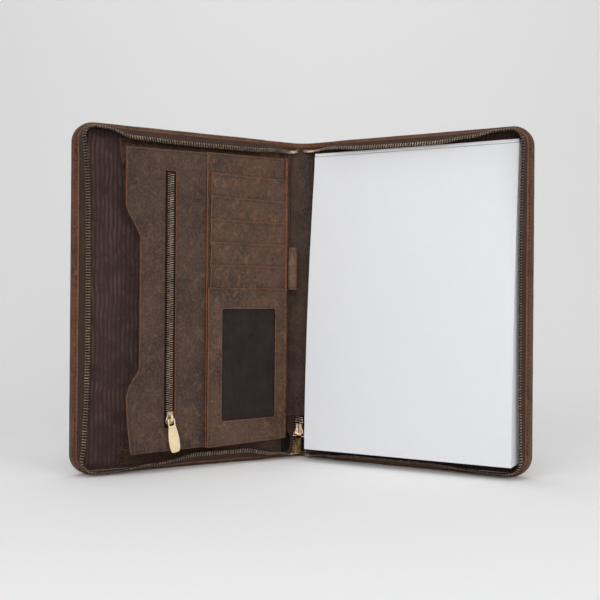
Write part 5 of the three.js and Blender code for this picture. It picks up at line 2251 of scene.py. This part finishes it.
        def relief(flat: np.ndarray, away: np.ndarray) -> np.ndarray:
            """Lets the lip gape a little in its middle and the leather swell."""
            share = np.clip((flat[:, 1] - low) / (lip - low), 0, 1)
            middle = np.clip(1 - np.abs(flat[:, 0] - middle_x) / 40, 0, 1)
            gape = 0.5 * share**3 * middle
            return gape + (swells(flat, (22, 40 + index, 0.16)) - 0.14) * np.minimum(away / 3, 1)

        dip = 0.5 - 0.22 * index
        top = [(right, lip), (middle_x, lip - 0.3 - dip * 0.4), (left, lip - 0.2)]
        name = f"card_slot_{index + 1}"
        cut = Cut(
            name,
            np.array([(left, low), (right, low)] + top),
            place,
            sizes.slot,
            sizes.slot,
            spacing=(4.0, 2.6),
            edge_spacing=2.4,
            round_edge=0.45,
            relief=relief,
            under=relief,
            hide_shift=(31.0 * index, 12.0),
        )
        self.shop.dress(cut.build(), Finish.LEATHER, [name], material=self.shop.palette.pale_leather)

    def dress_window(self) -> None:
        """Builds the netted window, the cloth behind it and its leather frame."""
        sizes = self.sizes
        left, low, right, high = sizes.window
        over = sizes.mesh_overlap
        net = (left - over, low - over, right + over, high + over)
        made = self.build_net("window_mesh", net, sizes.seat + 0.7, 1.25)
        self.shop.dress(made, Finish.MESH, ["window_mesh"])
        cut = Cut(
            "window_backing",
            rectangle(*net),
            organizer_place,
            0.3,
            sizes.seat + 0.32,
            spacing=(0.62, 8.0),
            edge_spacing=4,
            round_edge=0.1,
            rings=(0.3,),
            relief=ribbed(2.5, 0.07),
        )
        backing = self.shop.dress(cut.build(), Finish.MESH)
        frame_shape = np.array(
            [
                (ORGANIZER.card_left, ORGANIZER.bottom),
                (sizes.right, ORGANIZER.bottom + 1.5),
                (sizes.right, sizes.frame_lip),
                (ORGANIZER.card_left, sizes.frame_lip - 0.3),
            ]
        )
        hole = rounded(left, low, right, high, (2.2, 2.2, 2.2, 2.2))
        cut = Cut(
            "window_frame",
            frame_shape,
            organizer_place,
            ORGANIZER.leather,
            sizes.frame_base + ORGANIZER.leather,
            holes=[hole],
            spacing=3.2,
            edge_spacing=2.0,
            relief=self.soft_relief(52),
            hide_shift=(7.0, 90.0),
        )
        self.shop.dress(cut.build(), Finish.LEATHER, ["window_frame"], material=self.shop.palette.pale_leather)

    @staticmethod
    def build_net(
        name: str, box: tuple[float, float, float, float], middle: float, pitch: float
    ) -> bpy.types.Object:
        """Weaves a net of flat threads.

        Args:
            name: Name of the piece.
            box: Left, bottom, right and top in millimetres.
            middle: Height of the net's middle off the organizer's face.
            pitch: Distance between threads.

        Returns:
            The net.
        """
        left, low, right, high = box
        columns, rows = int((right - left) / pitch), int((high - low) / pitch)
        wide, thick, weave = 0.2, 0.1, 0.1
        points, faces, hides = [], [], []

        def thread(line: np.ndarray, side: np.ndarray) -> None:
            """Adds a flat thread along a line, as wide as side says."""
            first = sum(len(part) for part in points)
            off = np.array([0, 0, thick])
            near, far = line + side * wide, line - side * wide
            ring = np.stack([near - off, near + off, far + off, far - off], 1).reshape(-1, 3)
            points.append(ring)
            hides.append(np.column_stack([ring[:, :2], np.full(len(ring), FAR_FROM_EDGE)]))
            faces.extend(skin(len(line), 4, first=first))

        xs = left + (np.arange(columns) + 0.5) * (right - left) / columns
        ys = low + (np.arange(rows) + 0.5) * (high - low) / rows
        signs_x, signs_y = (-1.0) ** np.arange(columns), (-1.0) ** np.arange(rows)
        for x, sign in zip(xs, signs_x):
            off = middle + weave * sign * signs_y
            thread(np.column_stack([np.full(rows, x), ys, off]), np.array([1.0, 0, 0]))
        for y, sign in zip(ys, signs_y):
            off = middle - weave * sign * signs_x
            thread(np.column_stack([xs, np.full(columns, y), off]), np.array([0, 1.0, 0]))
        return add_mesh(name, organizer_place(np.concatenate(points)), faces, np.concatenate(hides), 40)

    def dress_edge_strip(self) -> None:
        """Folds the narrow crumpled binding over the card panel's right edge."""
        sizes = self.sizes
        right = -ORGANIZER.right_margin
        low, high = ORGANIZER.bottom + 1.6, ORGANIZER.top + 1.9
        heights = np.linspace(low, high, 190)
        rings, hides = [], []
        sides, squareness = 16, 2.6
        for i, height in enumerate(heights):
            spot = np.array([[0.0, height]])
            crumple = float(swells(spot, (6.5, 61, 0.28), (2.4, 62, 0.12))[0])
            drift = float(swells(spot, (45, 63, 0.25))[0])
            half = sizes.strip / 2 - 0.12 + crumple * 0.35 - abs(drift) * 0.4
            thick = sizes.strip_thickness / 2 - 0.1 + crumple * 0.5 - 0.15
            if i in (0, len(heights) - 1):
                half, thick = half - 0.35, thick - 0.35
            ring, hide = [], []
            for side in range(sides):
                angle = 2 * math.pi * side / sides
                x, y = math.cos(angle), math.sin(angle)
                bulge = (abs(x) ** squareness + abs(y) ** squareness) ** (-1 / squareness)
                across = right - sizes.strip / 2 + drift * 0.3 + half * x * bulge
                ring.append((across, height, sizes.seat + sizes.strip_thickness / 2 + thick * y * bulge))
                hide.append((3.0 * x, height, 0.6 + crumple))
            rings.append(organizer_place(np.array(ring)))
            hides.append(hide)
        made = loft("panel_edge_strip", np.array(rings), np.array(hides), sharp=80)
        self.shop.dress(made, Finish.RIM, ["panel_edge_strip"])

    def dress_gussets(self) -> None:
        """Folds leather inwards between the organizer and the cover, above and below."""
        back = ORGANIZER.back - ORGANIZER.lining
        thickness, least = 1.2, 3.0
        tail_start, tail_end = -32.0, -9.0
        foot_depth = LINING_FACE + CASE.gap + thickness
        sine, cosine = math.sin(ORGANIZER.tilt), math.cos(ORGANIZER.tilt)
        gussets = (
            ("top", 1, CASE.height - 12.2, ORGANIZER.zip_top, 0.82),
            ("bottom", -1, 12.2 - CASE.hem, ORGANIZER.bottom, 0.5),
        )
        for label, direction, foot, edge, slope in gussets:
            rings, hides = [], []
            for across in np.linspace(ORGANIZER.zip_left + 5, tail_end, 48):
                off = back - CASE.gap - thickness / 2
                page_x = -ORGANIZER.fold + across * cosine + off * sine
                depth = ORGANIZER.fold_height - across * sine + off * cosine
                gap = max(depth - foot_depth, 0.0)
                tuck = 3.5 - 4.0 * max(across - tail_start, 0.0) / (tail_end - tail_start)
                fold = foot - direction * (slope * gap + least)
                line = np.array(
                    [
                        (foot, foot_depth),
                        (foot + (fold - foot) * 0.5, foot_depth + gap * 0.14),
                        (fold, foot_depth + gap * 0.36),
                        (fold, foot_depth + gap * 0.44),
                        (edge - direction * tuck, foot_depth + gap),
                    ]
                )
                fine = self.eased_line(line, 5)
                ring = thicken(fine, thickness)
                count = len(fine)
                spot = np.column_stack([np.full(count, across), fine[:, 0]])
                swell = smooth_noise(spot, 18, 71) * 0.3 * np.sin(np.linspace(0, math.pi, count))
                ring[:, 1] += np.concatenate([swell, swell[::-1]])
                rings.append(page_place(-1)(np.column_stack([np.full(2 * count, page_x), ring])))
                run = np.linspace(0, 1, count) * max(gap * 1.8, 14.0)
                both = np.concatenate([run, run[::-1]])
                from_end = min(across - ORGANIZER.zip_left - 5, 6)
                hides.append(np.column_stack([np.full(2 * count, across), both, np.minimum(both, from_end)]))
            name = f"pocket_gusset_{label}"
            self.shop.dress(loft(name, np.array(rings), np.array(hides), sharp=70), Finish.LEATHER, [name])

    @staticmethod
    def eased_line(line: np.ndarray, steps: int) -> np.ndarray:
        """Draws a smooth open line through points."""
        padded = np.concatenate([line[:1] * 2 - line[1:2], line, line[-1:] * 2 - line[-2:-1]])
        rows = []
        for corners in zip(padded, padded[1:], padded[2:], padded[3:]):
            rows += [curve_point(corners, step / steps) for step in range(steps)]
        rows.append(line[-1])
        return np.array(rows)


@dataclass
class PocketZip:
    """The closed zip in the organizer's face, with its slider and paddle pull."""

    shop: Workshop
    sizes: PocketZipSizes
    slider: SliderSizes = SliderSizes()

    def __post_init__(self) -> None:
        """Works out how far the tape and the chain stand off the organizer's face."""
        self.tape_front = -ORGANIZER.leather - CASE.gap
        self.chain_front = self.tape_front + CASE.gap + self.sizes.chain_thickness

    def build(self) -> None:
        """Builds and dresses the zip."""
        sizes = self.sizes
        height = sizes.bottom + sizes.rise
        notch_top = height - self.slider.length * 0.2 + CASE.gap
        self.dress_tape(notch_top)
        self.dress_teeth(notch_top)
        channel = self.chain_front - ORGANIZER.tape_back + 2 * CASE.gap
        matrix = self.frame(height)
        slider = Slider(matrix, channel, self.slider)
        self.shop.dress(slider.plate("pocket_slider_face", True), Finish.BRASS, ["pocket_slider"])
        self.shop.dress(slider.plate("pocket_slider_back", False), Finish.BRASS)
        self.shop.dress(slider.post_and_bridge("pocket_slider_bridge"), Finish.GOLD)
        pull_sizes = PullSizes(31.5, 11.4, eye=2.5, arm=1.3, eye_length=4.7)
        pull = Pull(slider.bar_matrix(0, sizes.lean), pull_sizes, rim=-0.3)
        self.shop.dress(pull.build("pocket_pull"), Finish.GOLD, ["pocket_pull"], Body.POCKET_PULL)

    def frame(self, height: float) -> Matrix:
        """Gives the slider's frame: x to the left, y off the organizer's face, z up."""
        middle = (self.chain_front + ORGANIZER.tape_back) / 2
        rows = np.array(
            [
                (self.sizes.centre, height, middle),
                (self.sizes.centre - 1, height, middle),
                (self.sizes.centre, height, middle + 1),
            ]
        )
        origin, left, off = (Vector(row) for row in organizer_place(rows))
        axes = Matrix((left - origin, off - origin, Vector((0, 0, 1)))).transposed()
        return Matrix.Translation(origin) @ axes.to_4x4()

    def dress_tape(self, notch_top: float) -> None:
        """Weaves the two tapes that meet behind the slot."""
        sizes = self.sizes
        low, high, half = sizes.bottom - 10, sizes.top + 10, sizes.tape / 2
        notch = self.slider.post + CASE.gap
        shape = np.array(
            [
                (sizes.centre - half, low),
                (sizes.centre - notch, low),
                (sizes.centre - notch, notch_top),
                (sizes.centre + notch, notch_top),
                (sizes.centre + notch, low),
                (sizes.centre + half, low),
                (sizes.centre + half, high),
                (sizes.centre - half, high),
            ]
        )
        cut = Cut(
            "pocket_zip_tape",
            shape,
            organizer_place,
            ORGANIZER.lining,
            self.tape_front,
            spacing=(0.9, 6.0),
            edge_spacing=2.5,
            round_edge=0.25,
            rings=(0.3,),
            relief=lambda flat, away: -0.16 * hump(np.abs(flat[:, 0] - sizes.centre) - 4.1, 0.35),
        )
        # The darker tape is painted shade beside the teeth in the slot.
        dark = self.shop.palette.shadow_tape
        made = self.shop.dress(cut.build(), Finish.TAPE, ["pocket_zip_tape"], material=dark)

    def dress_teeth(self, notch_top: float) -> None:
        """Meshes two columns of teeth down the slot."""
        sizes = self.sizes
        tooth = ToothSizes(pitch=2.1, length=0.95, thickness=1.75, foot=0.1)
        middle = self.tape_front + CASE.gap + sizes.chain_thickness / 2
        parts = []
        draw = np.random.default_rng(81)
        for side, shift in ((-1, 0.25), (1, 0.75)):
            for height in np.arange(notch_top + shift * tooth.pitch + 0.4, sizes.top - 1.4, tooth.pitch):
                shape, faces = tooth.shape(sizes.chain / 2 + 0.4)
                across = sizes.centre + side * (sizes.chain / 2 - shape[:, 0])
                rows = np.column_stack([across, height + shape[:, 1], middle + shape[:, 2]])
                rows[:, :2] += draw.normal(0, 0.03, 2)
                parts.append((organizer_place(rows), faces))
        self.shop.dress(join_parts("pocket_zip_chain", parts), Finish.BRASS, ["pocket_zip_chain"])


@dataclass(frozen=True)
class PenLoopSizes:
    """Sizes of the pen loop, in millimetres."""

    height: float = 43.0
    top: float = CASE.height - 108.4
    width: float = 10.8
    depth: float = 10.4
    wall: float = 1.5
    across: float = -9.1
    stand_off: float = 1.7
    roundness: float = 0.26


@dataclass
class PenLoop:
    """A loop of rim leather that stands off the spine for a pen."""

    shop: Workshop
    sizes: PenLoopSizes

    def build(self) -> None:
        """Builds and dresses the loop."""
        sizes = self.sizes
        face = CASE.fold_centre + math.sqrt(CASE.fold_radius**2 - sizes.across**2)
        middle = face - LINING_FACE - sizes.stand_off - sizes.depth / 2 - CASE.set_back
        radius = sizes.depth * sizes.roundness
        half_x, half_y = sizes.width / 2, sizes.depth / 2
        outer = resample(rounded(-half_x, -half_y, half_x, half_y, (radius,) * 4), 0.9)
        heights = np.linspace(0, sizes.height, 34)
        rings, hides = [], []
        low = sizes.top - sizes.height
        around = 0.0
        for i, point in enumerate(outer):
            ahead, behind = outer[(i + 1) % len(outer)], outer[i - 1]
            run = ahead - behind
            normal = np.array([run[1], -run[0]]) / np.linalg.norm(run)
            around += float(np.linalg.norm(point - behind)) if i else 0.0
            ring, hide = [], []
            for face_side, order in ((1, heights), (-1, heights[::-1])):
                for height in order:
                    from_edge = min(height, sizes.height - height)
                    pinch = 0.62 - 0.62 * float(hump(from_edge, 0.45)) + 0.3
                    spot = np.array([[around + height * 0.55, (height - around) * 0.3]])
                    crease = float(swells(spot, (5.5, 91, 0.3))[0]) * min(from_edge / 3, 1)
                    depth = sizes.wall / 2 * (1 - face_side * pinch)
                    flat = point - normal * (depth + 0.16 - crease * 0.5)
                    ring.append((flat[0] + sizes.across, flat[1] + middle, low + height))
                    hide.append((around, height, from_edge))
            rings.append(ring)
            hides.append(hide)
        made = loft("pen_loop", np.array(rings), np.array(hides), closed=True, sharp=70)
        self.shop.dress(made, Finish.RIM, ["pen_loop"], material=self.shop.palette.loop_leather)


@dataclass(frozen=True)
class PadSizes:
    """Sizes of the writing pad, in millimetres."""

    inset: float = 6.4
    right: float = CASE.cover - 10.8
    bottom: float = 12.2
    top: float = CASE.height - 12.8
    bound: float = 8.1
    fanned: float = 26.4
    backing: float = 1.0
    binding: float = 3.4
    leaves: int = 46


PAD_FAN = ((0, 0), (0.03, 0.01), (0.16, 0.24), (0.36, 0.54), (0.6, 0.81), (0.82, 0.96), (1, 1))


@dataclass
class WritingPad:
    """A pad of leaves, bound at its top and fanned at its foot, on a backing board."""

    shop: Workshop
    sizes: PadSizes

    def build(self) -> None:
        """Builds and dresses the board, the binding and the leaves."""
        sizes = self.sizes
        place = page_place(1)
        base = LINING_FACE + CASE.gap + sizes.backing
        board = rounded(sizes.inset, sizes.bottom, sizes.right, sizes.top, (0.8,) * 4)
        cut = Cut(
            "pad_backing",
            board,
            place,
            sizes.backing,
            base,
            spacing=14,
            edge_spacing=8,
            round_edge=0.2,
            rings=(0.4,),
        )
        self.shop.dress(cut.build(), Finish.BOARD, ["pad_backing"])
        low = sizes.top - sizes.binding
        strip = rounded(sizes.inset, low, sizes.right, sizes.top, (0.3,) * 4)
        cut = Cut(
            "pad_binding",
            strip,
            place,
            sizes.bound,
            base + CASE.gap + sizes.bound,
            spacing=1.2,
            edge_spacing=2,
            round_edge=0.7,
            rings=(0.25, 0.6),
            relief=lambda flat, away: -0.35 * hump(flat[:, 1] - sizes.top + 2.3, 0.45),
        )
        self.shop.dress(cut.build(), Finish.PAPER, ["pad_binding"])
        self.dress_leaves(base + CASE.gap, low - CASE.gap)

    def leaf_heights(self, share: np.ndarray) -> np.ndarray:
        """Gives the pad's thickness at shares of the way down from its bound end."""
        table = np.array(PAD_FAN, float)
        fine = np.linspace(0, 1, 200)
        values = np.interp(fine, table[:, 0], table[:, 1])
        kernel = np.ones(11) / 11
        padded = np.concatenate([np.full(5, values[0]), values, np.full(5, values[-1])])
        smooth = np.convolve(padded, kernel, "valid")
        return self.sizes.bound + (self.sizes.fanned - self.sizes.bound) * np.interp(share, fine, smooth)

    def dress_leaves(self, base: float, top: float) -> None:
        """Fans the leaves out, each a little out of true."""
        sizes = self.sizes
        draw = np.random.default_rng(95)
        columns, rows = 7, 30
        points, faces, hides, start = [], [], [], 0
        shares = np.linspace(0, 1, rows)
        thickness = 0.13
        for leaf in range(sizes.leaves):
            last = leaf == sizes.leaves - 1
            shift = np.abs(draw.normal(0, 0.35, 4)) * (0 if last else 1)
            left, right = sizes.inset + shift[0], sizes.right - shift[1]
            bottom = sizes.bottom + shift[2]
            wander = 0.0 if last else float(draw.uniform(-0.3, 0.3))
            part = (leaf + 1 + wander) / sizes.leaves
            heights = top + (bottom - top) * shares
            full = self.leaf_heights(shares)
            face = base + full * min(part, 1) - thickness * 0.05
            xs = np.linspace(left, right, columns)
            sag = 1 - 0.012 * np.sin((xs - left) / (right - left) * math.pi) * (1 if last else draw.uniform(0, 1))
            grid = np.array([(x, h, f * s) for h, f in zip(heights, face) for x, s in zip(xs, sag)])
            both = np.concatenate([grid, grid - np.array([0, 0, thickness])])
            size = columns * rows
            for r in range(rows - 1):
                for c in range(columns - 1):
                    a = start + r * columns + c
                    quad = (a, a + 1, a + columns + 1, a + columns)
                    faces.append(quad)
                    faces.append(tuple(size + i for i in quad[::-1]))
            rim = list(range(columns))
            rim += [r * columns + columns - 1 for r in range(1, rows)]
            rim += [(rows - 1) * columns + c for c in range(columns - 2, -1, -1)]
            rim += [r * columns for r in range(rows - 2, 0, -1)]
            for a, b in zip(rim, rim[1:] + rim[:1]):
                faces.append((start + b, start + a, start + a + size, start + b + size))
            points.append(page_place(1)(both))
            hides.append(both)
            start += 2 * size
        made = add_mesh("writing_pad", np.concatenate(points), faces, np.concatenate(hides), 40)
        self.shop.dress(made, Finish.PAPER, ["writing_pad"])


# Studio


@dataclass(frozen=True)
class CameraSizes:
    """Place and lens of the camera, in millimetres and radians."""

    place: tuple[float, float, float] = (-11.24, -972.6, 161.3)
    turn: float = 0.0105
    roll: float = 0.0078
    lens: float = 56.3


@dataclass(frozen=True)
class FloorSizes:
    """Sizes of the studio floor and its curved backdrop, in millimetres."""

    half_width: float = 4000
    front: float = 3000
    back: float = 300
    radius: float = 900
    top: float = 4000
    steps: int = 16


@dataclass(frozen=True)
class SoftLight:
    """A soft square light, its places and side in metres and its power in watts."""

    name: str
    place: tuple[float, float, float]
    size: float
    power: float
    aim: tuple[float, float, float] = (0, 0, 0.16)


LIGHTS = (
    SoftLight("key", (-0.9, -1.5, 1.5), 1.2, 8),
    SoftLight("fill", (1.3, -1.4, 0.9), 1.3, 8),
    SoftLight("front", (0.05, -2.0, 0.6), 0.9, 15),
    SoftLight("top", (0, -0.2, 1.9), 1.2, 8.5, (0, 0, 0.1)),
    SoftLight("back", (0.5, 1.7, 1.1), 1.2, 9),
)
AIR_STRENGTH = 0.23


@dataclass
class Studio:
    """Pale floor, soft lights and the camera."""

    camera: CameraSizes
    floor: FloorSizes = FloorSizes()

    def build(self) -> None:
        """Sets up the whole studio."""
        self.build_floor()
        for light in LIGHTS:
            self.add_light(light)
        self.build_air()
        self.build_camera()
        bpy.context.scene.view_settings.view_transform = "Standard"

    def build_floor(self) -> None:
        """Builds a plain pale floor that curves up into a backdrop."""
        sizes = self.floor
        profile = [(-sizes.front, 0), (sizes.back, 0)]
        for i in range(1, sizes.steps + 1):
            angle = math.pi / 2 * i / sizes.steps
            across, up = sizes.radius * math.sin(angle), sizes.radius * (1 - math.cos(angle))
            profile.append((sizes.back + across, up))
        profile.append((sizes.back + sizes.radius, sizes.top))
        points = [(x, y, z) for y, z in profile for x in (-sizes.half_width, sizes.half_width)]
        faces = [(2 * i, 2 * i + 1, 2 * i + 3, 2 * i + 2) for i in range(len(profile) - 1)]
        mesh = bpy.data.meshes.new("studio_floor")
        mesh.from_pydata([tuple(value * MM for value in point) for point in points], [], faces)
        mesh.shade_smooth()
        made = bpy.data.objects.new("studio_floor", mesh)
        bpy.context.scene.collection.objects.link(made)
        material = bpy.data.materials.new("studio floor")
        material.use_nodes = True
        shader = material.node_tree.nodes["Principled BSDF"]
        shader.inputs["Base Color"].default_value = (0.94, 0.94, 0.94, 1)
        shader.inputs["Roughness"].default_value = 0.9
        shader.inputs["Specular IOR Level"].default_value = 0.1
        mesh.materials.append(material)

    @staticmethod
    def add_light(light: SoftLight) -> None:
        """Adds a soft light that faces its aim."""
        data = bpy.data.lights.new(light.name, "AREA")
        data.size = light.size
        data.energy = light.power
        made = bpy.data.objects.new(light.name, data)
        made.location = light.place
        look = Vector(light.aim) - Vector(light.place)
        made.rotation_euler = look.to_track_quat("-Z", "Y").to_euler()
        bpy.context.scene.collection.objects.link(made)

    @staticmethod
    def build_air() -> None:
        """Fills the studio with a little even white light."""
        world = bpy.data.worlds.new("studio air")
        world.use_nodes = True
        background = world.node_tree.nodes["Background"]
        background.inputs[0].default_value = (1, 1, 1, 1)
        background.inputs[1].default_value = AIR_STRENGTH
        bpy.context.scene.world = world

    def build_camera(self) -> None:
        """Sets the camera at the photograph's angle."""
        sizes = self.camera
        data = bpy.data.cameras.new("camera")
        data.lens = sizes.lens
        data.sensor_width = 36
        made = bpy.data.objects.new("camera", data)
        look = Matrix.Rotation(-sizes.turn, 4, "Z") @ Matrix.Rotation(math.pi / 2, 4, "X")
        roll = Matrix.Rotation(sizes.roll, 4, "Z")
        made.matrix_world = Matrix.Translation(Vector(sizes.place) * MM) @ look @ roll
        bpy.context.scene.collection.objects.link(made)
        bpy.context.scene.camera = made


def main() -> None:
    shop = Workshop(Palette())
    rims = {side: Rim(side, RimSizes()) for side in (-1, 1)}
    zip_sizes = PocketZipSizes()
    CoverShell(shop, ShellSizes(), rims).build()
    PerimeterZip(shop, PerimeterSizes(), rims).build()
    Organizer(shop, PanelSizes(), zip_sizes).build()
    PocketZip(shop, zip_sizes).build()
    PenLoop(shop, PenLoopSizes()).build()
    WritingPad(shop, PadSizes()).build()
    Studio(CameraSizes()).build()
    LOG.info("%d pieces dressed", shop.count)


if __name__ == "__main__":
    logging.basicConfig(level=logging.INFO)
    main()
